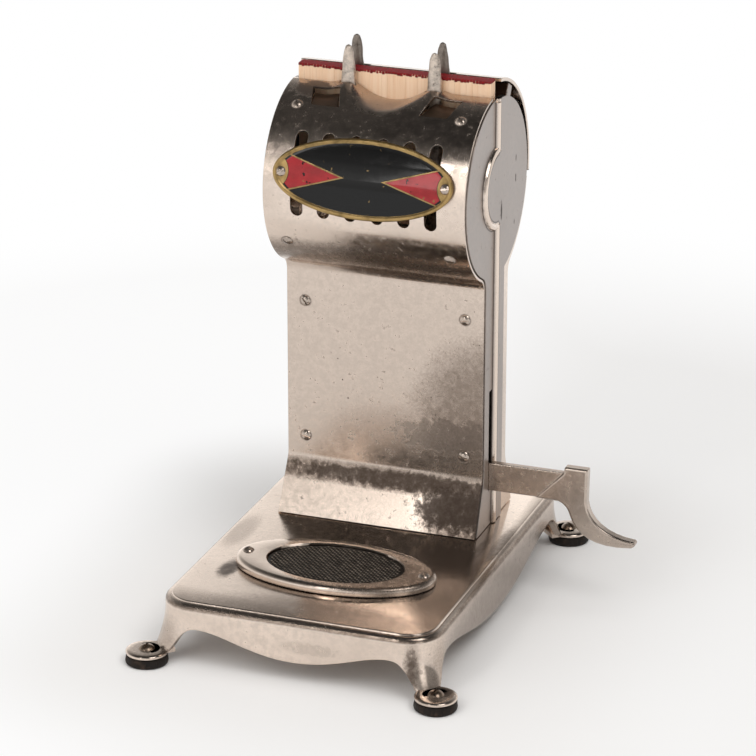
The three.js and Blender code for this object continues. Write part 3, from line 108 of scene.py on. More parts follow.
class DispenserSizes(bpy.types.PropertyGroup):
    """Sizes of the pieces"""
    base_width: length("Base width", "Width of the base under its legs' flare", 96.0)
    base_depth: length("Base depth", "Depth of the base under its legs' flare", 139.0)
    base_corner: length("Base corner", "Radius of the base's corners", 12.0)
    base_wall: length("Base wall", "Thickness of the skirt", 2.6)
    leg_flare: length("Leg flare", "How far a leg sweeps out at its foot", 4.5)
    skirt_front: length("Front skirt", "Height of the front skirt's lowest point", 6.7)
    skirt_side: length("Side skirt", "Height of the side skirt's lowest point", 4.8)
    foot_radius: length("Foot radius", "Radius of a metal foot", 7.0)
    drum_radius: length("Drum radius", "Radius of the drum", 31.7)
    drum_height: length("Drum height", "Height of the drum's axis over the base", 119.9)
    column_front: length("Column front", "Column face, in front of the seam", 10.3)
    crease_radius: length("Crease radius", "Radius where the column meets the drum", 5.0)
    flare_height: length("Flare height", "Where the flare begins", 20.5)
    flare_radius: length("Flare radius", "Radius of the bend into the flare", 8.0)
    slot_count: bpy.props.IntProperty(name="Slots", description="Round-ended slots across the drum",
                                      default=6, min=0)
    slot_pitch: length("Slot pitch", "Distance between slots", 9.3)
    slot_width: length("Slot width", "Width of a slot", 4.2)
    scoop_depth: length("Scoop depth", "Depth of the scoop in the lip", 4.2)
    scoop_width: length("Scoop width", "Width of the scoop at the drum's top", 23.0)
    hump_height: length("Hump height", "How far the lip turns up beside a prong", 1.6)
    plate_length: length("Plate length", "Length of the oval name plate", 62.2)
    plate_width: length("Plate width", "Width of the oval name plate", 25.6)
    plate_rim: length("Plate rim", "Width of the plate's raised rim", 1.5)
    striker_length: length("Striker length", "Length of the striker's frame", 69.6)
    striker_width: length("Striker width", "Width of the striker's frame", 37.8)
    pad_length: length("Pad length", "Length of the rough oval pad", 47.0)
    pad_width: length("Pad width", "Width of the rough oval pad", 29.4)
    knurl_pitch: length("Knurl pitch", "Distance between the pad's points", 1.25)
    knurl_height: length("Knurl height", "Height of the pad's points", 0.45)
    splint_width: length("Splint width", "Width of one match", 2.1)
    head_length: length("Head length", "Length of a match's dipped head", 1.05)


class DispenserFinish(bpy.types.PropertyGroup):
    """Colours of the pieces"""
    nickel: tint("Nickel", "Clean nickel plate", (0.86, 0.73, 0.63))
    tarnish: tint("Tarnish", "Brown tarnish over the nickel", (0.145, 0.105, 0.08))
    # This colour also paints shade: the dark line beside the sides' bead and dark patches on the base's front
    # right leg.
    pits_and_painted_shade: tint("Pits", "Rust in the pits and seams", (0.045, 0.03, 0.022))
    side: tint("Side plates", "Dull grey nickel of the sides", (0.40, 0.35, 0.32))
    steel: tint("Steel", "Plain steel inside", (0.32, 0.31, 0.30))
    brass: tint("Brass", "Rim and lines of the plate", (0.43, 0.29, 0.12))
    enamel: tint("Enamel", "Dark field of the plate", (0.006, 0.006, 0.006))
    wedge: tint("Wedges", "Red wedges of the plate", (0.36, 0.025, 0.03))
    wood: tint("Wood", "Split wood of the matches", (0.93, 0.67, 0.47))
    head: tint("Heads", "Dipped heads of the matches", (0.21, 0.012, 0.014))
    rubber: tint("Rubber", "Rubber of the feet", (0.011, 0.007, 0.005))
    floor: tint("Floor", "Paper under the object", (0.90, 0.90, 0.90))


# Finishes and painted shade colours that follow from no colour above
TAB_SHADE_BROWN = (0.16, 0.11, 0.075)
DULL_SCREW_BROWN = (0.34, 0.26, 0.20)
FORK_CASTING = (0.66, 0.57, 0.49)
FORK_HOLLOW = (0.10, 0.075, 0.06)
INSIDE_SHADE_BROWN = (0.07, 0.05, 0.038)
RUBBER_DUST = (0.055, 0.036, 0.026)
RUBBER_CRACK = (0.004, 0.003, 0.003)
KNURL_DARK = (0.018, 0.014, 0.011)
KNURL_BRIGHT = (0.32, 0.27, 0.22)


def sizes():
    return bpy.context.scene.dispenser_sizes


def finish():
    return bpy.context.scene.dispenser_finish


def mm(value):
    return value / MM


def shade_of(colour, share):
    return tuple(min(1.0, c * share) for c in colour)


def foot_places():
    """Middle of every foot, in the drawing, by its corner"""
    half_x, half_y = mm(sizes().base_width) / 2 + FOOT_OUT, mm(sizes().base_depth) / 2 + FOOT_OUT
    return {name: (sx * half_x, sy * half_y) for name, (sx, sy) in CORNERS.items()}


def drum_spot(angle, x=0.0, out=0.0):
    """A place on the drum in the drawing: angle in degrees up from the front"""
    radius, height = mm(sizes().drum_radius) + out, mm(sizes().drum_height)
    turn = math.radians(angle)
    return (x, SEAM_Y - radius * math.cos(turn), BASE_TOP + height + radius * math.sin(turn))


# Meshes

def placed(points):
    """Millimetres of the drawing to metres of the frame"""
    points = np.asarray(points, float)
    return points * MM + np.array([CENTRE_X, 0.0, 0.0])


def new_object(name, mesh):
    piece = bpy.data.objects.new(name, mesh)
    bpy.context.scene.collection.objects.link(piece)
    return piece


def smooth(mesh, angle):
    mesh.polygons.foreach_set("use_smooth", [True] * len(mesh.polygons))
    mesh.set_sharp_from_angle(angle=math.radians(angle))


def mesh_of(name, points, faces, material):
    mesh = bpy.data.meshes.new(name)
    mesh.from_pydata([tuple(p) for p in points], [], faces)
    mesh.validate()
    mesh.materials.append(material)
    return mesh


def oval(x, y, half_x, half_y, z, count):
    turns = [FULL_TURN * k / count for k in range(count)]
    return [(x + half_x * math.cos(a), y + half_y * math.sin(a), z) for a in turns]


def loft(rings):
    """Faces between rings of equal length, with the two ends closed by one face each"""
    count = len(rings[0])
    points = [p for ring in rings for p in ring]
    faces = []
    for i in range(len(rings) - 1):
        a, b = i * count, (i + 1) * count
        for j in range(count):
            k = (j + 1) % count
            faces.append((a + j, a + k, b + k, b + j))
    last = (len(rings) - 1) * count
    faces.append(tuple(range(count - 1, -1, -1)))
    faces.append(tuple(range(last, last + count)))
    return points, faces


def joined(*parts):
    points, faces = [], []
    for some_points, some_faces in parts:
        start = len(points)
        points.extend(some_points)
        faces.extend(tuple(i + start for i in face) for face in some_faces)
    return points, faces


def outwards(mesh, merged=True):
    """Turns every normal outwards"""
    shell = bmesh.new()
    shell.from_mesh(mesh)
    if merged:
        bmesh.ops.remove_doubles(shell, verts=shell.verts, dist=1e-6)
    bmesh.ops.recalc_face_normals(shell, faces=shell.faces)
    shell.to_mesh(mesh)
    shell.free()


def finish_piece(piece, body, nodes):
    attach(piece, body)
    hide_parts(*nodes)


def lofted_piece(name, parts, look, angle, body, nodes):
    """One piece from several lofts"""
    points, faces = joined(*parts)
    mesh = mesh_of(name, placed(points), faces, material(look))
    outwards(mesh)
    smooth(mesh, angle)
    finish_piece(new_object(name, mesh), body, nodes)


def softened(node, body, look, width, segments=2, angle=30):
    """A copy of a drawn node with its edges rounded"""
    shell = bmesh.new()
    shell.from_mesh(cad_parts[node].data)
    bmesh.ops.remove_doubles(shell, verts=shell.verts, dist=3e-6)
    bmesh.ops.dissolve_limit(shell, angle_limit=math.radians(0.8), verts=shell.verts, edges=shell.edges)
    mesh = bpy.data.meshes.new(node + "_finished")
    shell.to_mesh(mesh)
    shell.free()
    mesh.materials.append(material(look))
    smooth(mesh, angle)
    piece = new_object(node + "_finished", mesh)
    bevel = piece.modifiers.new("edges", "BEVEL")
    bevel.width = width * MM
    bevel.segments = segments
    bevel.limit_method = "ANGLE"
    bevel.angle_limit = math.radians(angle)
    bevel.use_clamp_overlap = False
    bevel.miter_outer = "MITER_ARC"
    flat = piece.modifiers.new("flat", "WEIGHTED_NORMAL")
    flat.keep_sharp = True
    flat.weight = 60
    finish_piece(piece, body, [node])


# A sheet: a flat outline with holes, bent along a surface and given its thickness

def inside(points, polygon):
    polygon = np.asarray(polygon)
    x, y = points[:, 0][:, None], points[:, 1][:, None]
    x0, y0 = polygon[:, 0][None], polygon[:, 1][None]
    x1, y1 = np.roll(polygon[:, 0], -1)[None], np.roll(polygon[:, 1], -1)[None]
    crosses = (y0 > y) != (y1 > y)
    with np.errstate(divide="ignore", invalid="ignore"):
        at = x0 + (y - y0) * (x1 - x0) / (y1 - y0)
    return (np.sum(crosses & (x < at), axis=1) % 2) == 1


def away_from(points, polygon):
    polygon = np.asarray(polygon)
    best = np.full(len(points), np.inf)
    for a, b in zip(polygon, np.roll(polygon, -1, axis=0)):
        run = b - a
        share = np.clip(((points - a) @ run) / max(run @ run, 1e-12), 0, 1)
        best = np.minimum(best, np.linalg.norm(points - (a + share[:, None] * run), axis=1))
    return best


def divided(polygon, step):
    """The same outline with no stretch longer than a step"""
    result = []
    polygon = [np.asarray(p, float) for p in polygon]
    for a, b in zip(polygon, polygon[1:] + polygon[:1]):
        count = max(1, int(math.ceil(np.linalg.norm(b - a) / step)))
        result.extend(a + (b - a) * (i / count) for i in range(count))
    return np.array(result)


def rounded(polygon, radius, steps=4):
    result = []
    polygon = [np.asarray(p, float) for p in polygon]
    for before, here, after in zip(polygon[-1:] + polygon[:-1], polygon, polygon[1:] + polygon[:1]):
        back, on = before - here, after - here
        reach = min(radius, np.linalg.norm(back) * 0.4, np.linalg.norm(on) * 0.4)
        start = here + back / np.linalg.norm(back) * reach
        end = here + on / np.linalg.norm(on) * reach
        for i in range(steps + 1):
            t = i / steps
            result.append(start * (1 - t) ** 2 + here * 2 * t * (1 - t) + end * t ** 2)
    return np.array(result)


def drawn_in(polygon, distance):
    """Every corner moved towards the side on the left of the outline's direction"""
    before, after = np.roll(polygon, 1, axis=0), np.roll(polygon, -1, axis=0)
    run = after - before
    run /= np.linalg.norm(run, axis=1)[:, None]
    return polygon + np.stack([-run[:, 1], run[:, 0]], axis=1) * distance


def area_of(polygon):
    x, y = polygon[:, 0], polygon[:, 1]
    return 0.5 * np.sum(x * np.roll(y, -1) - np.roll(x, -1) * y)


def facing_of(surface, u, v, tiny=0.02):
    """Outward normals of a surface"""
    along = surface(u + tiny, v, 0) - surface(u - tiny, v, 0)
    up = surface(u, v + tiny, 0) - surface(u, v - tiny, 0)
    facing = np.cross(along, up)
    return facing / np.linalg.norm(facing, axis=-1)[..., None]


def filled(loops, grid, clearance):
    """Places and triangles of a flat sheet: its edge, its holes and the points of a grid between them"""
    keep = inside(grid, loops[0]) & (away_from(grid, loops[0]) > clearance)
    for loop in loops[1:]:
        keep &= ~inside(grid, loop) & (away_from(grid, loop) > clearance)
    flat = np.vstack(loops + [grid[keep]])
    edges, start = [], 0
    for loop in loops:
        edges.extend((start + i, start + (i + 1) % len(loop)) for i in range(len(loop)))
        start += len(loop)
    made = delaunay_2d_cdt([Vector(p) for p in flat], edges, [], 0, 1e-7)
    places = np.array([[v.x, v.y] for v in made[0]])
    triangles = np.array([f for f in made[2] if len(f) == 3])
    middles = places[triangles].mean(axis=1)
    keep = inside(middles, loops[0])
    for loop in loops[1:]:
        keep &= ~inside(middles, loop)
    order = np.full(len(flat), -1)
    for i, sources in enumerate(made[3]):
        for source in sources:
            order[source] = i
    return places, triangles[keep], order


def bent_sheet(surface, edge, holes, grid, thickness, chamfer=0.13, step=0.8):
    """Points, faces and corner normals of a sheet. surface(u, v, inset) gives a point, in millimetres."""
    loops = []
    for outline, sign in [(edge, 1)] + [(hole, -1) for hole in holes]:
        outline = divided(outline, step)
        if np.sign(area_of(outline)) != sign:
            outline = outline[::-1]
        loops.append(outline)
    shrunk = [drawn_in(loop, chamfer) for loop in loops]
    places, triangles, order = filled(shrunk, grid, step * 0.45)
    u, v = places[:, 0], places[:, 1]
    facing = facing_of(surface, u, v)
    points = [surface(u, v, 0.0), surface(u, v, thickness)]
    faces, normals = [], []
    count = len(places)
    for a, b, c in triangles:
        faces.append((a, b, c))
        normals.append((facing[a], facing[b], facing[c]))
        faces.append((a + count, c + count, b + count))
        normals.append((-facing[a], -facing[c], -facing[b]))
    base, start = 2 * count, 0
    for loop, small in zip(loops, shrunk):
        n = len(loop)
        at = order[start:start + n]
        start += n
        rim_high = surface(loop[:, 0], loop[:, 1], chamfer)
        rim_low = surface(loop[:, 0], loop[:, 1], thickness - chamfer)
        sideways = surface(loop[:, 0], loop[:, 1], 0.0) - surface(small[:, 0], small[:, 1], 0.0)
        sideways /= np.linalg.norm(sideways, axis=1)[:, None]
        points.extend([rim_high, rim_low])
        high, low = base, base + n
        base += 2 * n
        for i in range(n):
            j = (i + 1) % n
            a, b = at[i], at[j]
            faces.append((a, high + i, high + j, b))
            normals.append((facing[a], sideways[i], sideways[j], facing[b]))
            faces.append((high + i, low + i, low + j, high + j))
            normals.append((sideways[i], sideways[i], sideways[j], sideways[j]))
            faces.append((low + i, a + count, b + count, low + j))
            normals.append((sideways[i], -facing[a], -facing[b], sideways[j]))
    return np.vstack(points), faces, [corner for face in normals for corner in face]


def sheet_mesh(name, parts, material):
    """One mesh from several bent sheets, with its own corner normals"""
    points, faces, normals = [], [], []
    start = 0
    for some_points, some_faces, some_normals in parts:
        points.append(some_points)
        faces.extend(tuple(int(i) + start for i in face) for face in some_faces)
        normals.extend(some_normals)
        start += len(some_points)
    mesh = bpy.data.meshes.new(name)
    mesh.from_pydata([tuple(p) for p in placed(np.vstack(points))], [], faces)
    mesh.polygons.foreach_set("use_smooth", [True] * len(mesh.polygons))
    mesh.normals_split_custom_set([tuple(float(c) for c in n) for n in normals])
    mesh.materials.append(material)
    return mesh


# Geometry nodes

class Recipe:
    """A geometry node tree with named inputs"""

    def __init__(self, name):
        self.tree = bpy.data.node_groups.new(name, "GeometryNodeTree")
        for way in ("INPUT", "OUTPUT"):
            self.tree.interface.new_socket("Geometry", in_out=way, socket_type="NodeSocketGeometry")
        self.given = self.tree.nodes.new("NodeGroupInput")
        self.end = self.tree.nodes.new("NodeGroupOutput")

    def value(self, name, kind="NodeSocketFloat"):
        self.tree.interface.new_socket(name, in_out="INPUT", socket_type=kind)
        return self.given.outputs[name]

    def add(self, kind, inputs=None, **settings):
        node = self.tree.nodes.new(kind)
        for key, setting in settings.items():
            setattr(node, key, setting)
        for key, given in (inputs or {}).items():
            socket = node.inputs[key]
            for one in given if isinstance(given, list) else [given]:
                if isinstance(one, bpy.types.NodeSocket):
                    self.tree.links.new(one, socket)
                else:
                    socket.default_value = one
        return node.outputs[0]

    def maths(self, operation, *values):
        return self.add("ShaderNodeMath", dict(enumerate(values)), operation=operation)

    def plus(self, first, second):
        return self.maths("ADD", first, second)

    def minus(self, first, second):
        return self.maths("SUBTRACT", first, second)

    def times(self, first, second):
        return self.maths("MULTIPLY", first, second)

    def over(self, first, second):
        return self.maths("DIVIDE", first, second)

    def vector(self, x=0.0, y=0.0, z=0.0):
        return self.add("ShaderNodeCombineXYZ", {"X": x, "Y": y, "Z": z})

    def cube(self, x, y, z):
        return self.add("GeometryNodeMeshCube", {"Size": self.vector(x, y, z)})

    def raised(self, shape, height):
        return self.add("GeometryNodeTransform", {"Geometry": shape, "Translation": self.vector(z=height)})

    def finished(self, shape, material):
        return self.add("GeometryNodeSetMaterial", {"Geometry": shape, "Material": material})

    def random_scale(self, smallest, largest, seed):
        return self.add("FunctionNodeRandomValue", {0: smallest, 1: largest, "Seed": seed},
                        data_type="FLOAT_VECTOR")

    def row(self, count, start, step):
        return self.add("GeometryNodeMeshLine", {"Count": count, "Start Location": self.vector(start),
                                                 "Offset": self.vector(step)}, mode="OFFSET")

    def on_points(self, points, shape, **more):
        return self.add("GeometryNodeInstanceOnPoints", {"Points": points, "Instance": shape, **more})

    def finish(self, shape):
        real = self.add("GeometryNodeRealizeInstances", {"Geometry": shape})
        self.tree.links.new(real, self.end.inputs[0])
        return self.tree


def grown(name, tree, values, points=None):
    """The tree's result as a plain mesh on its own object"""
    piece = new_object(name, points or bpy.data.meshes.new(name))
    modifier = piece.modifiers.new("recipe", "NODES")
    modifier.node_group = tree
    for item in tree.interface.items_tree:
        if item.item_type == "SOCKET" and item.in_out == "INPUT" and item.name in values:
            modifier[item.identifier] = values[item.name]
    bpy.context.view_layer.update()
    graph = bpy.context.evaluated_depsgraph_get()
    mesh = bpy.data.meshes.new_from_object(piece.evaluated_get(graph))
    piece.modifiers.clear()
    piece.data = mesh
    return piece


def screw_tree():
    """A slotted screw with a domed head on every point, turned by the point's facing"""
    recipe = Recipe("slotted_screws")
    head, rise = recipe.value("Head Radius"), recipe.value("Head Height")
    shank, depth = recipe.value("Shank Radius"), recipe.value("Shank Length")
    groove, cut = recipe.value("Slot Width"), recipe.value("Slot Depth")
    material = recipe.value("Finish", "NodeSocketMaterial")
    squares = recipe.plus(recipe.times(head, head), recipe.times(rise, rise))
    dome = recipe.over(squares, recipe.times(rise, 2.0))
    ball = recipe.add("GeometryNodeMeshUVSphere", {"Segments": 32, "Rings": 28, "Radius": dome})
    ball = recipe.raised(ball, recipe.minus(rise, dome))
    wide = recipe.times(head, 3.0)
    above = recipe.raised(recipe.cube(wide, wide, recipe.times(rise, 2.0)), rise)
    cap = recipe.add("GeometryNodeMeshBoolean", {"Mesh 2": [ball, above]}, operation="INTERSECT",
                     solver="EXACT")
    bar = recipe.raised(recipe.cube(wide, groove, recipe.times(cut, 2.0)), rise)
    cap = recipe.add("GeometryNodeMeshBoolean", {"Mesh 1": cap, "Mesh 2": bar}, operation="DIFFERENCE",
                     solver="EXACT")
    overlap = 0.1 * MM
    rod = recipe.add("GeometryNodeMeshCylinder", {"Vertices": 16, "Radius": shank, "Depth": depth})
    rod = recipe.raised(rod, recipe.plus(recipe.times(depth, -0.5), overlap))
    screw = recipe.add("GeometryNodeJoinGeometry", {"Geometry": [cap, rod]})
    facing = recipe.add("GeometryNodeInputNamedAttribute", {"Name": "facing"}, data_type="QUATERNION")
    return recipe.finish(recipe.on_points(recipe.given.outputs["Geometry"], recipe.finished(screw, material),
                                          Rotation=facing))


def screws(name, tree, size, places, look, nodes):
    """places: (point in the drawing, axis, turn in degrees)"""
    mesh = bpy.data.meshes.new(name + "_points")
    mesh.from_pydata([tuple(p) for p in placed([place for place, _, _ in places])], [], [])
    facing = mesh.attributes.new("facing", "QUATERNION", "POINT")
    up = Vector((0, 0, 1))
    for i, (_, axis, turn) in enumerate(places):
        own = Matrix.Rotation(math.radians(turn), 4, "Z").to_quaternion()
        spin = up.rotation_difference(Vector(axis)) @ own
        facing.data[i].value = (spin.w, spin.x, spin.y, spin.z)
    head, rise, shank, depth = size
    piece = grown(name, tree, {
        "Head Radius": head * MM, "Head Height": rise * MM, "Shank Radius": shank * MM,
        "Shank Length": depth * MM, "Slot Width": head * 0.28 * MM, "Slot Depth": rise * 0.65 * MM,
        "Finish": material(look)}, mesh)
    smooth(piece.data, 25)
    finish_piece(piece, "dispenser", nodes)


# Materials. A noise is given by its scale, detail and roughness.

CLOUD = (26.0, 8.0, 0.6)
FINE = (420.0, 7.0, 0.68)
GRAIN = (2600.0, 3.0, 0.6)
SPECKLE = (1300.0, 4.0, 0.7)
PITTED_PARTS = (75.0, 5.0, 0.6)
CHOSEN_PITS = (640.0, 2.0, 0.5)
DENTS = (30.0, 2.0, 0.5)


class Shades:
    """A material and the nodes that make it"""

    def __init__(self, name):
        self.material = bpy.data.materials.new(name)
        self.material.use_nodes = True
        self.tree = self.material.node_tree
        self.tree.nodes.clear()
        self.coordinates = self.tree.nodes.new("ShaderNodeTexCoord").outputs["Object"]

    def add(self, kind, inputs=None, out=0, **settings):
        node = self.tree.nodes.new(kind)
        for key, setting in settings.items():
            setattr(node, key, setting)
        for key, given in (inputs or {}).items():
            self.feed(node.inputs[key], given)
        return node.outputs[out]

    def feed(self, socket, given):
        if isinstance(given, bpy.types.NodeSocket):
            self.tree.links.new(given, socket)
        elif isinstance(given, tuple) and socket.type == "RGBA":
            socket.default_value = (*given, 1.0)[:4]
        else:
            socket.default_value = given

    def maths(self, operation, *values, clamp=False):
        return self.add("ShaderNodeMath", dict(enumerate(values)), operation=operation, use_clamp=clamp)

    def plus(self, first, second, clamp=False):
        return self.maths("ADD", first, second, clamp=clamp)

    def minus(self, first, second, clamp=False):
        return self.maths("SUBTRACT", first, second, clamp=clamp)

    def times(self, first, second, clamp=False):
        return self.maths("MULTIPLY", first, second, clamp=clamp)

    def larger(self, first, second, clamp=False):
        return self.maths("MAXIMUM", first, second, clamp=clamp)

    def smaller(self, first, second):
        return self.maths("MINIMUM", first, second)

    def size_of(self, value):
        return self.maths("ABSOLUTE", value)

    def hypotenuse(self, first, second):
        return self.maths("SQRT", self.plus(self.times(first, first), self.times(second, second)))

    def vector_maths(self, operation, first, second=(0.0, 0.0, 0.0), out=0):
        return self.add("ShaderNodeVectorMath", {0: first, 1: second}, out=out, operation=operation)

    def split(self, vector=None):
        """The three parts of a vector, or of the place on the object"""
        return self.add("ShaderNodeSeparateXYZ", {0: vector or self.coordinates}).node.outputs

    def stretched(self, scale):
        return self.add("ShaderNodeMapping", {"Vector": self.coordinates, "Scale": scale})

    def noise(self, scale, detail=4.0, roughness=0.55, coordinates=None):
        return self.add("ShaderNodeTexNoise", {"Vector": coordinates or self.coordinates, "Scale": scale,
                                               "Detail": detail, "Roughness": roughness})

    def streaks(self, scale, detail, roughness):
        """A noise with its own scale along each axis"""
        return self.noise(1.0, detail, roughness, self.stretched(scale))

    def cells(self, scale):
        return self.add("ShaderNodeTexVoronoi", {"Vector": self.coordinates, "Scale": scale})

    def between(self, value, low, high, to_low=0.0, to_high=1.0):
        return self.add("ShaderNodeMapRange", {"Value": value, "From Min": low, "From Max": high,
                                               "To Min": to_low, "To Max": to_high},
                        interpolation_type="SMOOTHSTEP")

    def mixed(self, share, first, second):
        return self.add("ShaderNodeMix", {0: share, 6: first, 7: second}, out=2, data_type="RGBA")

    def away_from(self, place):
        """Distance in metres from a place in the drawing"""
        return self.vector_maths("DISTANCE", self.coordinates, tuple(placed([place])[0]), "Value")

    def near(self, place, reach):
        """1 at a place in the drawing, 0 outside its reach. Both in millimetres."""
        offset = self.vector_maths("SUBTRACT", self.coordinates, tuple(placed([place])[0]))
        scaled = self.vector_maths("MULTIPLY", offset, tuple(1 / (r * MM) for r in reach))
        return self.between(self.vector_maths("LENGTH", scaled, out="Value"), 1.0, 0.25)

    def patches(self, share, places, noise, swing, low, high):
        """The larger of a share and its ragged patches. A patch has a place, a reach and a strength."""
        for place, reach, strength in places:
            edge = self.plus(self.near(place, reach), self.times(self.minus(noise, 0.5), swing))
            share = self.larger(share, self.times(self.between(edge, low, high), strength))
        return share

    def bumped(self, height, strength, distance, normal=None):
        inputs = {"Height": height, "Strength": strength, "Distance": distance * MM}
        if normal is not None:
            inputs["Normal"] = normal
        return self.add("ShaderNodeBump", inputs)

    def surface(self, **inputs):
        shader = self.add("ShaderNodeBsdfPrincipled", {key.replace("_", " "): given
                                                       for key, given in inputs.items()})
        self.end(shader)
        return self.material

    def end(self, shader):
        self.tree.links.new(shader, self.tree.nodes.new("ShaderNodeOutputMaterial").inputs[0])


def dark_ring_round_screws(shades, places, radius, noise):
    """A dark narrow ring round every screw head"""
    nearest = shades.away_from(places[0])
    for place in places[1:]:
        nearest = shades.smaller(nearest, shades.away_from(place))
    outer, inner = (radius + 0.9) * MM, (radius + 0.5) * MM
    edge = shades.plus(nearest, shades.times(noise, 0.9 * MM))
    return shades.times(shades.between(edge, outer, inner), 0.55)


def from_bead(shades):
    """Distance from the bead's middle line: a lobe in front of the drum's axis, and straight runs"""
    _, y, z = shades.split()
    over = shades.minus(z, BASE_TOP * MM + sizes().drum_height)
    behind = shades.minus(y, SEAM_Y * MM)
    from_lobe = shades.size_of(shades.minus(shades.hypotenuse(over, behind), LOBE_RADIUS * MM))
    arc = shades.plus(from_lobe, shades.larger(behind, 0.0))
    past_end = shades.larger(shades.minus(LOBE_RADIUS * MM, shades.size_of(over)), 0.0)
    straight = shades.plus(shades.size_of(behind), past_end)
    return shades.smaller(arc, straight)


def worn_nickel(name, colour, stains_and_painted_shade=(), rust_and_painted_shade=(), dull=(), screws_at=(), low=0.1, high=0.36, pits=1.0,
                wave=1.0, tarnish=0.3, painted_inside_shade=0.0, painted_bead_light_and_shade=False, bump=1.0, metallic=1.0):
    """Nickel plate worn by handling: brown tarnish, rusty pits, dull places, wiping marks, a wavy surface.
    Some patches are painted shade and dark reflection; on the sides the bead gets a painted highlight and the
    inner faces painted shade.
    """
    shades = Shades(name)
    plus, minus, times, between = shades.plus, shades.minus, shades.times, shades.between
    cloud, fine, grain = shades.noise(*CLOUD), shades.noise(*FINE), shades.noise(*GRAIN)
    wiping = shades.streaks((60.0, 900.0, 1100.0), 3.0, 0.6)

    clouded = plus(times(cloud, 0.62), times(fine, 0.38))
    speckled = plus(times(shades.noise(*SPECKLE), 0.45), plus(times(cloud, 0.3), times(fine, 0.25)))
    brown = times(between(clouded, 0.44, 0.66), tarnish)
    brown = shades.patches(brown, stains_and_painted_shade, speckled, 1.7, 0.0, 1.15)
    brown = times(brown, between(fine, 0.25, 0.6, 0.82, 1.0), clamp=True)

    where = between(shades.noise(*PITTED_PARTS), 0.5, 0.66, 0.06, 1.0)
    specks = times(between(shades.cells(620.0), 0.21, 0.10), between(shades.noise(*CHOSEN_PITS), 0.55, 0.64))
    pits_and_painted_shade = shades.patches(times(specks, times(where, pits)), rust_and_painted_shade, fine, 2.6, 0.25, 0.8)
    if screws_at:
        pits_and_painted_shade = shades.larger(pits_and_painted_shade, dark_ring_round_screws(shades, screws_at, COVER_SCREW[0], fine))
    pits_and_painted_shade = times(pits_and_painted_shade, 1.0, clamp=True)

    nickel, rust_and_shade_colour = tuple(finish().nickel), tuple(finish().pits_and_painted_shade)
    mottle = shades.mixed(between(fine, 0.35, 0.7), shade_of(colour, 0.84), shade_of(colour, 1.06))
    colouring = shades.mixed(pits_and_painted_shade, shades.mixed(brown, mottle, tuple(finish().tarnish)), rust_and_shade_colour)
    rough = between(fine, 0.3, 0.75, low, low + (high - low) * 0.4)
    # Painted light on the sides: along the bead the colour is paler, a painted highlight, and the dark line
    # beside it is painted shade.
    if painted_bead_light_and_shade:
        away = from_bead(shades)
        edge_out, edge_in, seam = 1.4 * MM, 0.9 * MM, 1.55 * MM
        colouring = shades.mixed(between(away, edge_out, edge_in), colouring, shade_of(nickel, 0.95))
        line = between(shades.size_of(minus(away, seam)), 0.4 * MM, 0.1 * MM)
        colouring = shades.mixed(times(line, 0.75), colouring, rust_and_shade_colour)
        rough = minus(rough, between(away, edge_out, edge_in, 0.0, low * 0.5))
    # Painted shade: nearer the middle than the given distance, on the sides' inner faces, the colour is dark
    # brown.
    if painted_inside_shade:
        across = shades.size_of(minus(shades.split()[0], CENTRE_X))
        colouring = shades.mixed(between(across, (painted_inside_shade + 0.15) * MM, painted_inside_shade * MM), colouring,
                                 INSIDE_SHADE_BROWN)
    for place, reach, amount in dull:
        rough = plus(rough, times(shades.near(place, reach), amount))
    rough = plus(plus(rough, times(wiping, 0.04)), times(brown, (high - low) * 0.6))
    rough = plus(rough, times(pits_and_painted_shade, 0.2), clamp=True)
    metal = minus(1.0, plus(times(brown, 0.08), times(pits_and_painted_shade, 0.25)), clamp=True)

    wavy = shades.bumped(shades.noise(*DENTS), 0.5, 0.3 * wave)
    wiped = shades.bumped(plus(wiping, times(grain, 0.5)), 0.12 * bump, 0.02, wavy)
    sunk = shades.bumped(minus(1.0, pits_and_painted_shade), 0.6 * bump, 0.08, wiped)
    return shades.surface(Base_Color=colouring, Metallic=times(metal, metallic), Roughness=rough, Normal=sunk)


def plain_steel(name, colour, roughness=0.4):
    shades = Shades(name)
    cloud = shades.noise(90.0, 6.0, 0.6)
    lines = shades.streaks((900.0, 900.0, 40.0), 3.0, 0.6)
    colouring = shades.mixed(shades.between(cloud, 0.4, 0.7), colour, shade_of(colour, 0.55))
    rough = shades.plus(shades.between(cloud, 0.3, 0.7, roughness - 0.08, roughness + 0.14),
                        shades.times(lines, 0.1))
    return shades.surface(Base_Color=colouring, Metallic=0.95, Roughness=rough,
                          Normal=shades.bumped(lines, 0.2, 0.02))


def frosted_casting(name, colour):
    """Rough casting skin: pale and grainy, with dark hollows, and painted shade in dull brown on the prongs
    behind the matches
    """
    shades = Shades(name)
    lumps = shades.noise(520.0, 5.0, 0.7)
    grains = shades.cells(1500.0)
    hollow = shades.between(shades.plus(lumps, shades.times(grains, -0.25)), 0.27, 0.17)
    tone = shades.mixed(shades.between(lumps, 0.35, 0.65), shade_of(colour, 0.62), shade_of(colour, 1.1))
    colouring = shades.mixed(shades.times(hollow, 0.7), tone, FORK_HOLLOW)
    # Painted shade: behind the matches the prongs are coloured far darker.
    rear = shades.between(shades.split()[1], (SEAM_Y - 1) * MM, (SEAM_Y + 2) * MM, 0.0, 0.75)
    colouring = shades.mixed(rear, colouring, shade_of(colour, 0.2))
    height = shades.plus(lumps, shades.times(grains, 0.4))
    rough = shades.between(lumps, 0.3, 0.7, 0.3, 0.5)
    return shades.surface(Base_Color=colouring, Metallic=0.85, Roughness=rough,
                          Normal=shades.bumped(height, 0.5, 0.12))


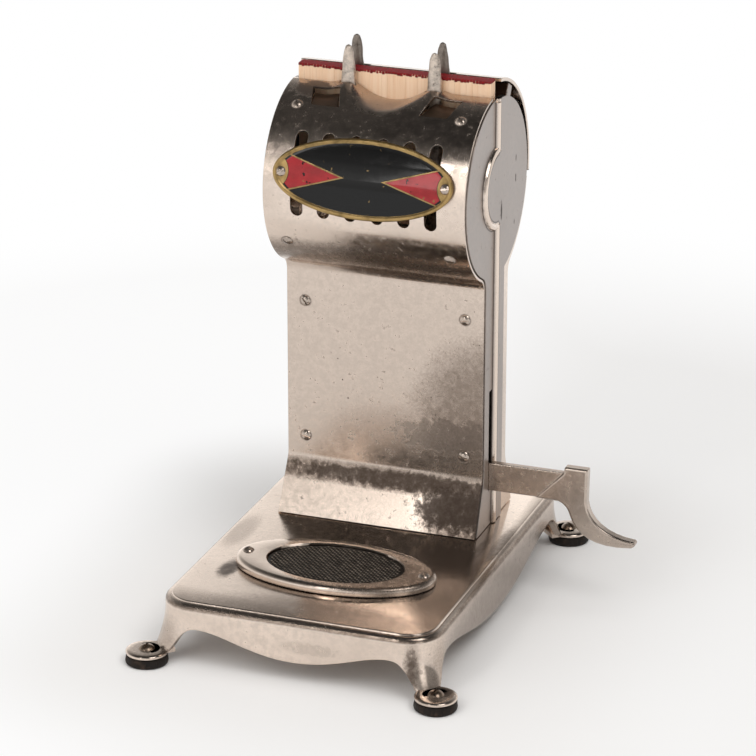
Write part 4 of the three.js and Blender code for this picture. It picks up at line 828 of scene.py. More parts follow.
def split_wood(name, colour):
    """Pale split wood, its grain along the match"""
    shades = Shades(name)
    grain = shades.streaks((1500.0, 700.0, 38.0), 6.0, 0.65)
    broad = shades.streaks((330.0, 200.0, 14.0), 3.0, 0.5)
    darker = tuple(c * share for c, share in zip(colour, (0.94, 0.86, 0.78)))
    paler = tuple(min(1.0, c * share) for c, share in zip(colour, (1.08, 1.14, 1.2)))
    tone = shades.mixed(shades.between(grain, 0.35, 0.7), colour, darker)
    tone = shades.mixed(shades.between(broad, 0.4, 0.75, 0.0, 0.5), tone, paler)
    return shades.surface(Base_Color=tone, Roughness=shades.between(grain, 0.3, 0.7, 0.62, 0.82),
                          Normal=shades.bumped(grain, 0.4, 0.09), Specular_IOR_Level=0.35)


def dipped_heads(name, colour):
    shades = Shades(name)
    crumbs = shades.noise(1300.0, 5.0, 0.7)
    tone = shades.mixed(shades.between(crumbs, 0.35, 0.7), shade_of(colour, 0.55), shade_of(colour, 1.35))
    return shades.surface(Base_Color=tone, Roughness=shades.between(crumbs, 0.3, 0.7, 0.5, 0.8),
                          Normal=shades.bumped(crumbs, 0.6, 0.12), Specular_IOR_Level=0.2)


def worn_rubber(name, colour):
    shades = Shades(name)
    dust = shades.noise(260.0, 6.0, 0.65)
    cracks = shades.add("ShaderNodeTexVoronoi", {"Vector": shades.stretched((1.0, 1.0, 0.35)),
                                                 "Scale": 430.0}, feature="DISTANCE_TO_EDGE")
    tone = shades.mixed(shades.between(dust, 0.5, 0.75), colour, RUBBER_DUST)
    tone = shades.mixed(shades.between(cracks, 0.035, 0.0), tone, RUBBER_CRACK)
    height = shades.plus(dust, shades.between(cracks, 0.0, 0.06))
    return shades.surface(Base_Color=tone, Roughness=shades.between(dust, 0.3, 0.7, 0.42, 0.75),
                          Normal=shades.bumped(height, 0.5, 0.15), Specular_IOR_Level=0.25)


def enamelled_brass(name):
    """The plate's finish, read from its own UV map: brass rim and lines, a dark field, two red wedges"""
    shades = Shades(name)
    plus, minus, times, between = shades.plus, shades.minus, shades.times, shades.between
    colours, size = finish(), sizes()
    brass, wedge = tuple(colours.brass), tuple(colours.wedge)
    half_long, half_wide = mm(size.plate_length) / 2, mm(size.plate_width) / 2
    rim = mm(size.plate_rim)
    wedge_tip, wedge_slope = 7.3, 0.3
    boss_x, boss_radius = 31.4, 5.6

    flat = shades.split(shades.add("ShaderNodeUVMap", uv_map="plate"))
    x = times(minus(flat[0], 0.5), 2 * half_long)
    y = times(minus(flat[1], 0.5), 2 * half_wide)
    wobble = times(minus(shades.noise(700.0, 3.0, 0.6), 0.5), 0.22)
    across, up = plus(shades.size_of(x), wobble), plus(shades.size_of(y), wobble)
    oval_share = shades.hypotenuse(shades.maths("DIVIDE", across, half_long - rim),
                                   shades.maths("DIVIDE", up, half_wide - rim))
    field = between(oval_share, 1.0, 0.985)
    beside = times(minus(times(minus(across, wedge_tip), wedge_slope), up), 1 / math.hypot(1, wedge_slope))
    from_boss = minus(shades.hypotenuse(minus(boss_x, across), up), boss_radius)
    from_rim = times(minus(0.975, oval_share), half_wide)
    red = between(shades.smaller(shades.smaller(beside, from_boss), from_rim), 0.12, 0.24)
    line = times(between(shades.size_of(plus(beside, 0.06)), 0.26, 0.16), between(from_boss, -0.1, 0.1))
    line = times(line, 0.8)

    outside = shades.larger(between(from_boss, 0.1, -0.1), line)
    chips = between(shades.noise(330.0, 4.0, 0.7), 0.665, 0.69)
    dark_chips = times(between(shades.streaks((420.0, 230.0, 330.0), 3.0, 0.6), 0.6, 0.63), red)
    cloud = shades.noise(190.0, 6.0, 0.65)
    metal = shades.larger(shades.larger(minus(1.0, field), outside), times(chips, 0.55), clamp=True)
    reds = shades.mixed(between(cloud, 0.35, 0.7), wedge, shade_of(wedge, 0.7))
    paint = shades.mixed(times(red, minus(1.0, dark_chips)), tuple(colours.enamel), reds)
    bare = shades.mixed(between(cloud, 0.4, 0.72), brass, shade_of(brass, 0.42))
    rough = shades.add("ShaderNodeMapRange", {"Value": metal, "To Min": 0.06, "To Max": 0.34})
    rough = plus(rough, between(cloud, 0.4, 0.8, 0.0, 0.07))
    edge = shades.bumped(plus(red, line), 0.3, 0.05, shades.bumped(cloud, 0.2, 0.05))
    return shades.surface(Base_Color=shades.mixed(metal, paint, bare), Metallic=times(metal, 0.95),
                          Roughness=rough, Normal=edge, Specular_IOR_Level=0.3)


def knurled_metal(name):
    """Dull striking surface, dark between its points and rubbed bright on them"""
    shades = Shades(name)
    rubbed = shades.noise(140.0, 5.0, 0.6)
    tips = shades.between(shades.split()[2], (BASE_TOP + 2.55) * MM, (BASE_TOP + 2.85) * MM)
    worn = shades.times(tips, shades.between(rubbed, 0.3, 0.7, 0.6, 1.0))
    return shades.surface(Base_Color=shades.mixed(worn, KNURL_DARK, KNURL_BRIGHT), Metallic=0.85,
                          Roughness=shades.between(rubbed, 0.3, 0.7, 0.38, 0.55),
                          Normal=shades.bumped(shades.noise(3000.0, 2.0), 0.2, 0.03))


def cover_screw_places():
    front = SEAM_Y - mm(sizes().column_front)
    drums = [drum_spot(angle, side * SCREW_X) for _, angle in DRUM_SCREWS for _, side in HANDS]
    return drums + [(side * SCREW_X, front, BASE_TOP + z) for _, z in COLUMN_SCREWS for _, side in HANDS]


# Where the finishes are worn, and where shade and dark reflection are painted in. A row is a place in the
# drawing, its reach and its strength.

def cover_nickel():
    column, bend, flare = SEAM_Y - 10, SEAM_Y - 12, SEAM_Y - 15
    scoop = (0, 19, 169.8)
    stains_and_painted_shade = [
        ((0, column, BASE_TOP + 50), (150, 20, 90), 0.3),
        ((34, column, BASE_TOP + 40), (42, 30, 50), 0.8),
        ((10, column, BASE_TOP + 31), (58, 30, 24), 0.45),
        ((0, bend, BASE_TOP + 15.5), (110, 14, 6.5), 1.0),
        ((31, flare, BASE_TOP + 7), (26, 20, 18), 1.0),
        # Painted dark reflection on the lower drum, above the crease.
        (drum_spot(-46, 8), (40, 20, 7), 0.75),
        (drum_spot(-46, -14), (72, 18, 11), 0.85),
        (drum_spot(84), (90, 34, 7), 0.5),
        (scoop, (14, 12, 4), 0.45),
        (drum_spot(62, -30), (60, 24, 16), 0.4),
    ]
    rust_and_painted_shade = [
        ((10, bend, BASE_TOP + 15.5), (70, 14, 4.6), 0.65),
        ((28, flare, BASE_TOP + 9), (24, 18, 12), 0.8),
        ((22, column, BASE_TOP + 33), (26, 14, 10), 0.3),
        (drum_spot(74, -26), (10, 10, 4), 0.8),
    ]
    dull = [(drum_spot(10, 34), (18, 22, 16), 0.16), (scoop, (13, 12, 4), 0.3)]
    return worn_nickel("cover_nickel", tuple(finish().nickel), stains_and_painted_shade, rust_and_painted_shade, dull, cover_screw_places(),
                       tarnish=0.22)


def base_nickel():
    # The front right leg has two dark patches of painted dark reflection; the gap between them is a painted
    # bright streak.
    leg_left_side, leg_right_side = (41.5, -73, 13), (51.5, -69, 12)
    stains_and_painted_shade = [
        ((34, -14, BASE_TOP), (34, 62, 5), 0.6),
        ((10, -62, BASE_TOP), (60, 16, 5), 0.7),
        ((0, 14, BASE_TOP), (48, 7, 5), 0.8),
        ((0, 0, BASE_TOP - 1.7), (190, 190, 1.5), 0.95),
        # Painted dark reflection on the right skirt.
        ((49, 0, 8), (10, 130, 24), 0.75),
        ((39, 4, BASE_TOP), (3.5, 26, 3), 0.9),
        ((44.5, 10, BASE_TOP), (5, 26, 3), 0.9),
        (leg_left_side, (5, 9, 15), 1.0),
        (leg_right_side, (6.5, 8, 20), 1.0),
        ((-47, -70, 8), (12, 12, 14), 0.5),
        ((-34.2, -38, BASE_TOP), (5, 12, 3), 1.0),
        ((-42, -8, BASE_TOP), (7, 22, 3), 0.4),
    ]
    rust_and_painted_shade = [((x, y, 4.5), (9.5, 9.5, 3.4), 0.28) for x, y in foot_places().values()] + [
        # Painted dark reflection on the front right leg, in the colour of the pits.
        (leg_left_side, (5, 9, 15), 0.5),
        ((52, -69, 12), (6.5, 8, 20), 0.7),
        ((-34, -38.5, BASE_TOP), (5, 10, 3), 0.4),
        ((6, -71, 12.5), (17, 5, 4), 0.2),
    ]
    dull = [((-42, -20, BASE_TOP), (40, 120, 6), 0.12), ((-10, -66, 12), (60, 8, 12), 0.12)]
    return worn_nickel("base_nickel", tuple(finish().nickel), stains_and_painted_shade, rust_and_painted_shade, dull, low=0.08, high=0.24,
                       tarnish=0.16, wave=0.22, bump=0.3)


def striker_nickel():
    # The second patch is painted shade: a dark band round the foot of the frame, where it sits on the base.
    stains_and_painted_shade = [((16, -33, 25.3), (36, 26, 4), 0.95), ((0, STRIKER_Y, 22.0), (70, 50, 1.5), 1.0)]
    return worn_nickel("striker_nickel", tuple(finish().nickel), stains_and_painted_shade, tarnish=0.3)


def side_nickel():
    face = COLUMN_HALF + 0.5
    rust_and_painted_shade = [((face, SEAM_Y + y, BASE_TOP + z), (3, wide, tall), strength) for y, z, wide, tall, strength in (
        (3, 111, 1.4, 6, 0.9), (18, 118, 0.8, 2.4, 0.9), (18, 125, 0.7, 2.2, 0.8), (17, 103, 0.7, 1.8, 0.8))]
    return worn_nickel("side_nickel", tuple(finish().side), rust_and_painted_shade=rust_and_painted_shade, low=0.26, high=0.5, pits=0.9, wave=0.5,
                       tarnish=0.1, painted_inside_shade=33.9, painted_bead_light_and_shade=True)


MATERIALS = {}
MAKERS = {
    "cover": cover_nickel,
    # Painted shade: the tabs, pressed in below the windows, are coloured dark brown, not the cover's nickel.
    "tabs": lambda: worn_nickel("tab_nickel_in_shade", TAB_SHADE_BROWN, low=0.3, high=0.5, tarnish=0.8),
    "base": base_nickel,
    "striker": striker_nickel,
    "side": side_nickel,
    "lever": lambda: worn_nickel("lever_nickel", shade_of(finish().nickel, 0.68), low=0.2, high=0.36,
                                 tarnish=0.35, wave=0.5, bump=0.5),
    "screws": lambda: worn_nickel("screw_nickel", shade_of(finish().nickel, 0.66), low=0.12, high=0.3,
                                  pits=0.8, wave=0.2, tarnish=0.6, metallic=0.9),
    "dull_screws": lambda: worn_nickel("dull_screws", DULL_SCREW_BROWN, low=0.22, high=0.5, wave=0.2,
                                       tarnish=0.7),
    "steel": lambda: plain_steel("plain_steel", tuple(finish().steel)),
    "forks": lambda: frosted_casting("fork_casting", FORK_CASTING),
    "wood": lambda: split_wood("match_wood", tuple(finish().wood)),
    "heads": lambda: dipped_heads("match_heads", tuple(finish().head)),
    "rubber": lambda: worn_rubber("foot_rubber", tuple(finish().rubber)),
    "plate": lambda: enamelled_brass("plate_enamel"),
    "pad": lambda: knurled_metal("striker_knurl"),
}


def material(look):
    if look not in MATERIALS:
        MATERIALS[look] = MAKERS[look]()
    return MATERIALS[look]


# Base

SIDE_STEPS, CORNER_STEPS = 26, 14
LEG_TOP, LEG_REACH = 19.0, 15.0


def base_ring(level, inset):
    """The base's outline at a height, flared out at the legs, and its plain outline"""
    size = sizes()
    half_x, half_y = mm(size.base_width) / 2, mm(size.base_depth) / 2
    corner = mm(size.base_corner)
    deep = max(0.0, (LEG_TOP - level) / (LEG_TOP - RUBBER_HEIGHT))
    flare = mm(size.leg_flare) * deep ** 2
    points, nominal = [], []
    for quarter, (sx, sy) in enumerate(QUARTERS):
        centre = np.array([sx * (half_x - corner), sy * (half_y - corner)])
        tip = centre + np.array([sx, sy]) * (corner - inset) * math.sqrt(0.5)
        run_x, run_y = half_x - corner - 1.0, half_y - corner - 1.0
        after, before = (run_x, run_y) if quarter % 2 == 0 else (run_y, run_x)
        runs = [(-before * (1 - i / SIDE_STEPS), 0.0) for i in range(SIDE_STEPS)]
        runs += [(0.0, i / CORNER_STEPS) for i in range(CORNER_STEPS)]
        runs += [(after * (i / SIDE_STEPS), 1.0) for i in range(SIDE_STEPS)]
        for run, share in runs:
            angle = (quarter + share) * math.pi / 2
            out = np.array([math.cos(angle), math.sin(angle)])
            along = np.array([-math.sin(angle), math.cos(angle)]) * run
            place = centre + out * (corner - inset) + along
            away = np.linalg.norm(place - tip) / (LEG_REACH + corner / 2)
            weight = math.cos(min(1.0, away) * math.pi / 2) ** 2
            shift = flare * weight * math.sqrt(0.5)
            points.append((place[0] + sx * shift, place[1] + sy * shift))
            nominal.append(tuple(centre + out * corner + along))
    return points, nominal


def arch_height(place, half, dip, arch_top=13.0, leg_span=8.5, curve=6.0):
    """Height of the skirt's lower edge at a distance from the middle of its side"""
    inner = half - leg_span
    apex = inner - curve
    place = abs(place)
    if place >= inner + 2:
        return -1.0
    if place > apex:
        a, b, c = inner + 2 - 2 * inner + apex, 2 * (inner - apex), apex - place
        t = (-b + math.sqrt(max(0.0, b * b - 4 * a * c))) / (2 * a) if abs(a) > 1e-9 else -c / b
        return arch_top * (1 - t) ** 2 + 2 * arch_top * t * (1 - t) - t * t
    first_pull, second_pull = 0.45 * apex, 0.72 * apex
    t, ends = 0.5, [0.0, 1.0]
    for _ in range(30):
        t = sum(ends) / 2
        at = 3 * first_pull * t * (1 - t) ** 2 + 3 * second_pull * t * t * (1 - t) + apex * t ** 3
        ends[0 if at < place else 1] = t
    return dip * ((1 - t) ** 3 + 3 * t * (1 - t) ** 2) + arch_top * (3 * t * t * (1 - t) + t ** 3)


def skirt_edge(nominal):
    """Height of the base's lower edge at every point of its outline"""
    size = sizes()
    half_x, half_y = mm(size.base_width) / 2, mm(size.base_depth) / 2
    to_corner = mm(size.base_corner) + 0.01
    heights = []
    for x, y in nominal:
        height = RUBBER_HEIGHT + SEAT
        if abs(y) > half_y - to_corner:
            height = max(height, arch_height(x, half_x, mm(size.skirt_front)))
        if abs(x) > half_x - to_corner:
            height = max(height, arch_height(y, half_y, mm(size.skirt_side)))
        heights.append(height)
    return heights


def base_shell():
    """Raised top, rounded shoulder, skirt and the hollow under it"""
    edge = skirt_edge(base_ring(BASE_TOP, 0)[1])
    rings = []

    def ring(levels, inset):
        flat = {}
        points = []
        for i, level in enumerate(levels):
            key = round(level, 2)
            if key not in flat:
                flat[key] = base_ring(key, inset)[0]
            points.append((*flat[key][i], level))
        rings.append(points)

    def flat_ring(level, inset):
        ring([level] * len(edge), inset)

    step, bead, rounding = 2.2, 0.6, 2.3
    shoulder, wall = BASE_TOP - bead, mm(sizes().base_wall)
    for drop, inset in ((0.0, step + 0.45), (0.06, step + 0.2), (0.22, step + 0.05), (bead - 0.12, step),
                        (bead, step - 0.1)):
        flat_ring(BASE_TOP - drop, inset)
    for i in range(1, 9):
        angle = math.radians(90 * i / 8)
        flat_ring(shoulder - rounding * (1 - math.cos(angle)), (step - 0.1) * (1 - math.sin(angle)))
    top = shoulder - rounding
    for i in range(1, 15):
        ring([top + (low + 0.5 - top) * i / 14 for low in edge], 0.0)
    for lift, inset in ((0.14, 0.14), (0.0, 0.5), (0.0, wall - 0.4), (0.3, wall)):
        ring([low + lift for low in edge], inset)
    under = BASE_TOP - 2.8
    for i in range(1, 7):
        ring([low + 0.3 + (under - low - 0.3) * i / 6 for low in edge], wall)
    return loft(rings)


def metal_foot(sx, sy):
    """A thin round foot, and the tongue that joins it to its leg"""
    size = sizes()
    foot, low, thickness = mm(size.foot_radius), RUBBER_HEIGHT + SEAT, 1.4
    x = sx * (mm(size.base_width) / 2 + FOOT_OUT)
    y = sy * (mm(size.base_depth) / 2 + FOOT_OUT)
    profile = ((0.4, 0.0), (0.1, 0.12), (0.0, 0.4), (0.0, 0.75), (0.15, 1.0), (0.6, 1.22), (1.4, 1.36),
               (2.6, thickness))
    disc = loft([oval(x, y, foot - inset, foot - inset, low + height, 48) for inset, height in profile])
    inward = np.array([-sx, -sy]) * math.sqrt(0.5)
    across = np.array([-inward[1], inward[0]])
    outline = [np.array([x, y]) + inward * a + across * b
               for a, b in ((0.0, -4.2), (8.6, -3.6), (8.6, 3.6), (0.0, 4.2))]
    tongue = loft([[(*corner, z) for corner in outline] for z in (low, low + thickness)])
    return [disc, tongue]


class BuildBase(bpy.types.Operator):
    """Base with its scalloped skirt, four swept legs and round feet"""
    bl_idname = "dispenser.build_base"
    bl_label = "Base"

    def execute(self, context):
        parts = [base_shell()]
        for sx, sy in QUARTERS:
            parts += metal_foot(sx, sy)
        lofted_piece("base_casting_finished", parts, "base", 40, "dispenser",
                     ["base_casting"])
        return {"FINISHED"}


class BuildFeet(bpy.types.Operator):
    """Four rubber feet, turned and worn at the rim"""
    bl_idname = "dispenser.build_feet"
    bl_label = "Rubber feet"

    def execute(self, context):
        wide = mm(sizes().foot_radius) + 0.2
        profile = ((1.1, 0.0), (0.5, 0.1), (0.15, 0.45), (0.0, 1.0), (0.1, 1.7), (0.3, 2.6),
                   (0.45, RUBBER_HEIGHT - 0.15), (0.7, RUBBER_HEIGHT))
        worn_below, wear_depth = 2, 0.08
        parts = []
        for i, (x, y) in enumerate(foot_places().values()):
            phase = random.Random(20 + i).uniform(0, 6)
            rings = []
            for inset, z in profile:
                ring = []
                for a in (FULL_TURN * k / 48 for k in range(48)):
                    r = wide - inset - wear_depth * (1 + math.sin(3 * a + phase)) * (z < worn_below)
                    ring.append((x + r * math.cos(a), y + r * math.sin(a), z))
                rings.append(ring)
            parts.append(loft(rings))
        lofted_piece("rubber_feet", parts, "rubber", 35, "dispenser",
                     ["rubber_foot_" + corner for corner in CORNERS])
        return {"FINISHED"}


# Striker

def pad_tree():
    """Rows of small pyramids over an oval"""
    recipe = Recipe("striker_points")
    long_side, wide_side = recipe.value("Length"), recipe.value("Width")
    pitch, height = recipe.value("Pitch"), recipe.value("Height")
    material = recipe.value("Finish", "NodeSocketMaterial")
    across = recipe.times(long_side, 1.2)
    count = recipe.maths("ROUND", recipe.over(across, pitch))
    grid = recipe.add("GeometryNodeMeshGrid", {"Size X": across, "Size Y": across, "Vertices X": count,
                                               "Vertices Y": count})
    grid = recipe.add("GeometryNodeTransform", {"Geometry": grid, "Rotation": (0.0, 0.0, math.radians(45))})
    position = recipe.add("ShaderNodeSeparateXYZ", {0: recipe.add("GeometryNodeInputPosition")}).node.outputs
    squares = []
    for place, side in ((position[0], long_side), (position[1], wide_side)):
        share = recipe.over(place, recipe.minus(recipe.times(side, 0.5), pitch))
        squares.append(recipe.times(share, share))
    outside = recipe.add("FunctionNodeCompare", {0: recipe.plus(*squares), 1: 1.0}, data_type="FLOAT",
                         operation="GREATER_THAN")
    kept = recipe.add("GeometryNodeDeleteGeometry", {"Geometry": grid, "Selection": outside}, domain="POINT")
    point = recipe.add("GeometryNodeMeshCone", {"Vertices": 4, "Radius Top": recipe.times(pitch, 0.1),
                                                "Radius Bottom": recipe.times(pitch, 0.7), "Depth": height})
    size = recipe.random_scale((0.9, 0.9, 0.75), (1.0, 1.0, 1.05), 7)
    points = recipe.on_points(kept, point, Scale=size)
    both = recipe.add("GeometryNodeJoinGeometry", {"Geometry": [recipe.given.outputs["Geometry"], points]})
    return recipe.finish(recipe.finished(both, material))


class BuildStriker(bpy.types.Operator):
    """Oval striker: rounded frame, and a rough pad made of small pyramids"""
    bl_idname = "dispenser.build_striker"
    bl_label = "Striker"

    def execute(self, context):
        size = sizes()
        low = BASE_TOP + SEAT
        outer = (mm(size.striker_length) / 2, mm(size.striker_width) / 2)
        pad = (mm(size.pad_length) / 2, mm(size.pad_width) / 2)
        play, frame_height, wall_height, rounding = 0.3, 3.0, 1.2, 1.9

        def frame_ring(half, inset, height):
            return oval(0.0, STRIKER_Y, half[0] - inset, half[1] - inset, low + height, 96)

        rings = [frame_ring(outer, inset, height)
                 for inset, height in ((0.15, 0.0), (0.0, 0.15), (0.0, wall_height))]
        for i in range(1, 8):
            angle = math.radians(90 * i / 7)
            rings.append(frame_ring(outer, rounding * (1 - math.cos(angle)),
                                    wall_height + (frame_height - wall_height) * math.sin(angle)))
        opening = (pad[0] + play, pad[1] + play)
        rings += [frame_ring(opening, inset, height)
                  for inset, height in ((-0.5, frame_height), (-0.12, 2.96), (0.0, 2.82), (0.0, 0.7))]
        lofted_piece("striker_frame_finished", [loft(rings)], "striker", 40, "dispenser",
                     ["striker_frame"])

        pad_top, pad_thickness = 2.6, 1.7
        rings = [oval(0.0, 0.0, pad[0] - inset, pad[1] - inset, height, 96)
                 for inset, height in ((0.0, 0.1 - pad_thickness), (0.0, -0.1), (0.12, 0.0))]
        points, faces = loft(rings)
        plate = bpy.data.meshes.new("striker_pad_plate")
        plate.from_pydata([tuple(c * MM for c in p) for p in points], [], faces)
        outwards(plate)
        piece = grown("striker_pad_finished", pad_tree(), {
            "Length": size.pad_length, "Width": size.pad_width, "Pitch": size.knurl_pitch,
            "Height": size.knurl_height, "Finish": material("pad")}, plate)
        seat = (0.0, STRIKER_Y, low + pad_top - mm(size.knurl_height))
        piece.data.transform(Matrix.Translation(Vector(placed([seat])[0])))
        finish_piece(piece, "dispenser", ["striker_pad"])
        return {"FINISHED"}


# Covers

class CoverLine:
    """Side line of the front cover, from its foot to the lip, by distance along its outer face"""

    def __init__(self, end_angle):
        size = sizes()
        self.face, self.radius = mm(size.column_front), mm(size.drum_radius)
        self.crease, self.bend = mm(size.crease_radius), mm(size.flare_radius)
        self.drum, self.flare_height = mm(size.drum_height), mm(size.flare_height)
        self.flare = math.radians(21)
        self.crease_y = self.face + self.crease
        self.crease_z = self.drum - math.sqrt((self.radius + self.crease) ** 2 - self.crease_y ** 2)
        self.crease_angle = math.atan2(self.drum - self.crease_z, self.crease_y)
        bend_low = self.flare_height - self.bend * math.sin(self.flare)
        self.ends = np.cumsum([(bend_low - SEAT) / math.cos(self.flare), self.bend * self.flare,
                               self.crease_z - self.flare_height, self.crease * self.crease_angle,
                               self.radius * (self.crease_angle + math.radians(end_angle))])

    def at_angle(self, angle):
        """Distance along the line of a place on the drum"""
        return self.ends[3] + self.radius * (self.crease_angle + np.radians(angle))

    def place(self, v, inset):
        """Forward distance and height, the drum's angle, and where v is on the drum"""
        v = np.asarray(v, float)
        foot_end, bend_end, column_end, crease_end, _ = self.ends
        bend_y = self.face + self.bend
        foot_y = bend_y - self.bend * math.cos(self.flare)
        foot_z = self.flare_height - self.bend * math.sin(self.flare)
        down = foot_end - v
        y = foot_y + down * math.sin(self.flare) - inset * math.cos(self.flare)
        z = foot_z - down * math.cos(self.flare) - inset * math.sin(self.flare)
        angle = self.flare * (1 - (v - foot_end) / (bend_end - foot_end))
        bent = v > foot_end
        y = np.where(bent, bend_y - (self.bend + inset) * np.cos(angle), y)
        z = np.where(bent, self.flare_height - (self.bend + inset) * np.sin(angle), z)
        flat = v > bend_end
        y = np.where(flat, self.face - inset, y)
        z = np.where(flat, self.flare_height + v - bend_end, z)
        angle = (v - column_end) / self.crease
        creased = v > column_end
        y = np.where(creased, self.crease_y - (self.crease + inset) * np.cos(angle), y)
        z = np.where(creased, self.crease_z + (self.crease + inset) * np.sin(angle), z)
        angle = (v - crease_end) / self.radius - self.crease_angle
        return y, z, np.degrees(angle), v > crease_end


def eased(value, low, high):
    t = np.clip((value - low) / (high - low), 0, 1)
    return t * t * (3 - 2 * t)


def cover_surface(line):
    """The cover's outer face, with the scoop and the humps beside the prongs pressed in its lip"""
    size = sizes()
    depth, width, hump_height = mm(size.scoop_depth), mm(size.scoop_width), mm(size.hump_height)
    hump_reach, blend, foot_spread = 7.0, 1.3, 1.2

    def surface(u, v, inset, drop=None):
        u, v = np.broadcast_arrays(np.asarray(u, float), np.asarray(v, float))
        y, z, angle, drum = line.place(v, inset)
        beside = np.maximum(0, 1 - np.abs(np.abs(u) - FORK_X) / hump_reach)
        hump = hump_height * eased(angle, 58.2, 85.0) * eased(beside, 0, 1)
        trough = line.radius - depth + depth * (2 * u / width) ** 2
        trough = trough / np.sin(np.radians(np.maximum(angle, 1)))
        plain = line.radius + hump
        nearer = np.maximum(0, 1 - np.abs(plain - trough) / blend)
        radius = np.minimum(plain, trough) - blend * nearer ** 2 / 4 - inset
        if drop is not None:
            radius = radius - drop(v)
        y = np.where(drum, radius * np.cos(np.radians(angle)), y)
        z = np.where(drum, line.drum + radius * np.sin(np.radians(angle)), z)
        left = np.clip(0.5 - u / (2 * COLUMN_HALF), 0, 1)
        spread = foot_spread * np.clip(1 - v / line.ends[1], 0, 1) * left
        return np.stack([u - spread, SEAM_Y - y, BASE_TOP + z], axis=-1)

    return surface


def on_drum(line, middle, outline):
    """A flat outline seen along the drum's radius at an angle, laid on the drum"""
    outline = np.asarray(outline, float)
    angles = middle + np.degrees(np.arcsin(outline[:, 1] / line.radius))
    return np.stack([outline[:, 0], line.at_angle(angles)], axis=1)


def window_outline(line, side, gap=0.0):
    centre, half, lean = 20.0, 4.8, 2.6
    middle = (WINDOW_LOW + WINDOW_HIGH) / 2
    low = line.radius * math.sin(math.radians(WINDOW_LOW - middle)) - gap * 3
    high = line.radius * math.sin(math.radians(WINDOW_HIGH - middle)) - gap
    corners = [(centre - half - lean / 2 + gap, low), (centre + half - lean / 2 - gap, low),
               (centre + half + lean / 2 - gap, high), (centre - half + lean / 2 + gap, high)]
    return on_drum(line, middle, [(side * x, v) for x, v in corners])


def slot_outline(line, x, radius):
    """A round-ended slot round the drum"""
    middle = (SLOT_HIGH + SLOT_LOW) / 2
    half = line.radius * math.sin(math.radians((SLOT_HIGH - SLOT_LOW) / 2))
    top = [(x + radius * math.cos(a), half - radius + radius * math.sin(a))
           for a in np.linspace(0, math.pi, 15)]
    foot = [(x + radius * math.cos(a), radius - half + radius * math.sin(a))
            for a in np.linspace(math.pi, FULL_TURN, 15)]
    return on_drum(line, middle, top + foot)


def cover_outline(line):
    """The flat edge of the front cover, with a notch for each front prong"""
    top, notch_low, notch_half = line.ends[4], line.at_angle(NOTCH_LOW), 3.0
    outline = [(-COLUMN_HALF, 0.0), (COLUMN_HALF, 0.0), (COLUMN_HALF, top)]
    for x in (FORK_X, -FORK_X):
        outline += [(x + notch_half, top), (x + notch_half, notch_low), (x - notch_half, notch_low),
                    (x - notch_half, top)]
    return outline + [(-COLUMN_HALF, top)]


def cover_grid(line):
    """Points between the edges: sparse on the column, closer in the bends and closest at the lip"""
    foot_end, bend_end, column_end, crease_end, top = line.ends
    lip_start = line.at_angle(54)
    rows = [*np.arange(0, foot_end, 2.2), *np.arange(foot_end, bend_end + 0.1, 0.3)]
    rows += [*np.arange(bend_end + 0.6, column_end, 4.0), *np.arange(column_end, crease_end + 0.1, 0.4)]
    rows += [*np.arange(crease_end + 0.5, lip_start, 1.1)]
    grid = [(x, v) for v in rows for x in np.arange(-34, 34.1, 2.0)]
    grid += [(x, v) for v in np.arange(lip_start + 0.5, top, 0.6) for x in np.arange(-34.4, 34.5, 0.8)]
    return np.array(grid)


class BuildFrontCover(bpy.types.Operator):
    """Front cover: one sheet over drum, column and flare, with slots, lanced windows and the scoop"""
    bl_idname = "dispenser.build_front_cover"
    bl_label = "Front cover"

    def execute(self, context):
        size = sizes()
        line = CoverLine(LIP)
        surface = cover_surface(line)
        holes = []
        for i in range(size.slot_count):
            x = (i - (size.slot_count - 1) / 2) * mm(size.slot_pitch)
            holes.append(slot_outline(line, x, mm(size.slot_width) / 2))
        holes += [rounded(window_outline(line, side), 0.5) for _, side in HANDS]
        parts = [bent_sheet(surface, cover_outline(line), holes, cover_grid(line), COVER_THICKNESS)]
        low_v, high_v = line.at_angle(WINDOW_LOW), line.at_angle(WINDOW_HIGH)
        tab_drop, tab_seat = 2.5, 0.12

        def drop(v):
            return tab_drop * np.clip((v - low_v) / (high_v - low_v), -0.05, 1.2) + tab_seat

        def tab_surface(u, v, inset):
            return surface(u, v, inset, drop)

        for _, side in HANDS:
            tab = rounded(window_outline(line, side, 0.28), 0.4)
            rows = np.arange(tab[:, 1].min(), tab[:, 1].max(), 0.8)
            span = np.array([(x, v) for v in rows for x in np.arange(-26, 26.1, 1.0)])
            parts.append(bent_sheet(tab_surface, tab, [], span, COVER_THICKNESS - 0.1))
        mesh = sheet_mesh("front_cover_finished", parts, material("cover"))
        mesh.materials.append(material("tabs"))
        for face in mesh.polygons[len(parts[0][1]):]:
            face.material_index = 1
        finish_piece(new_object("front_cover_finished", mesh), "dispenser", ["front_cover"])
        return {"FINISHED"}


class BuildSides(bpy.types.Operator):
    """Side castings, rear cover, rear lid and its hinge pin, with softened edges"""
    bl_idname = "dispenser.build_sides"
    bl_label = "Sides and back"

    def execute(self, context):
        for hand, _ in HANDS:
            softened("side_casting_" + hand, "dispenser", "side", 0.18)
        softened("rear_cover", "dispenser", "cover", 0.2)
        softened("rear_lid", "rear_lid", "cover", 0.2)
        softened("lid_hinge_pin", "dispenser", "steel", 0.1)
        return {"FINISHED"}


# Name plate

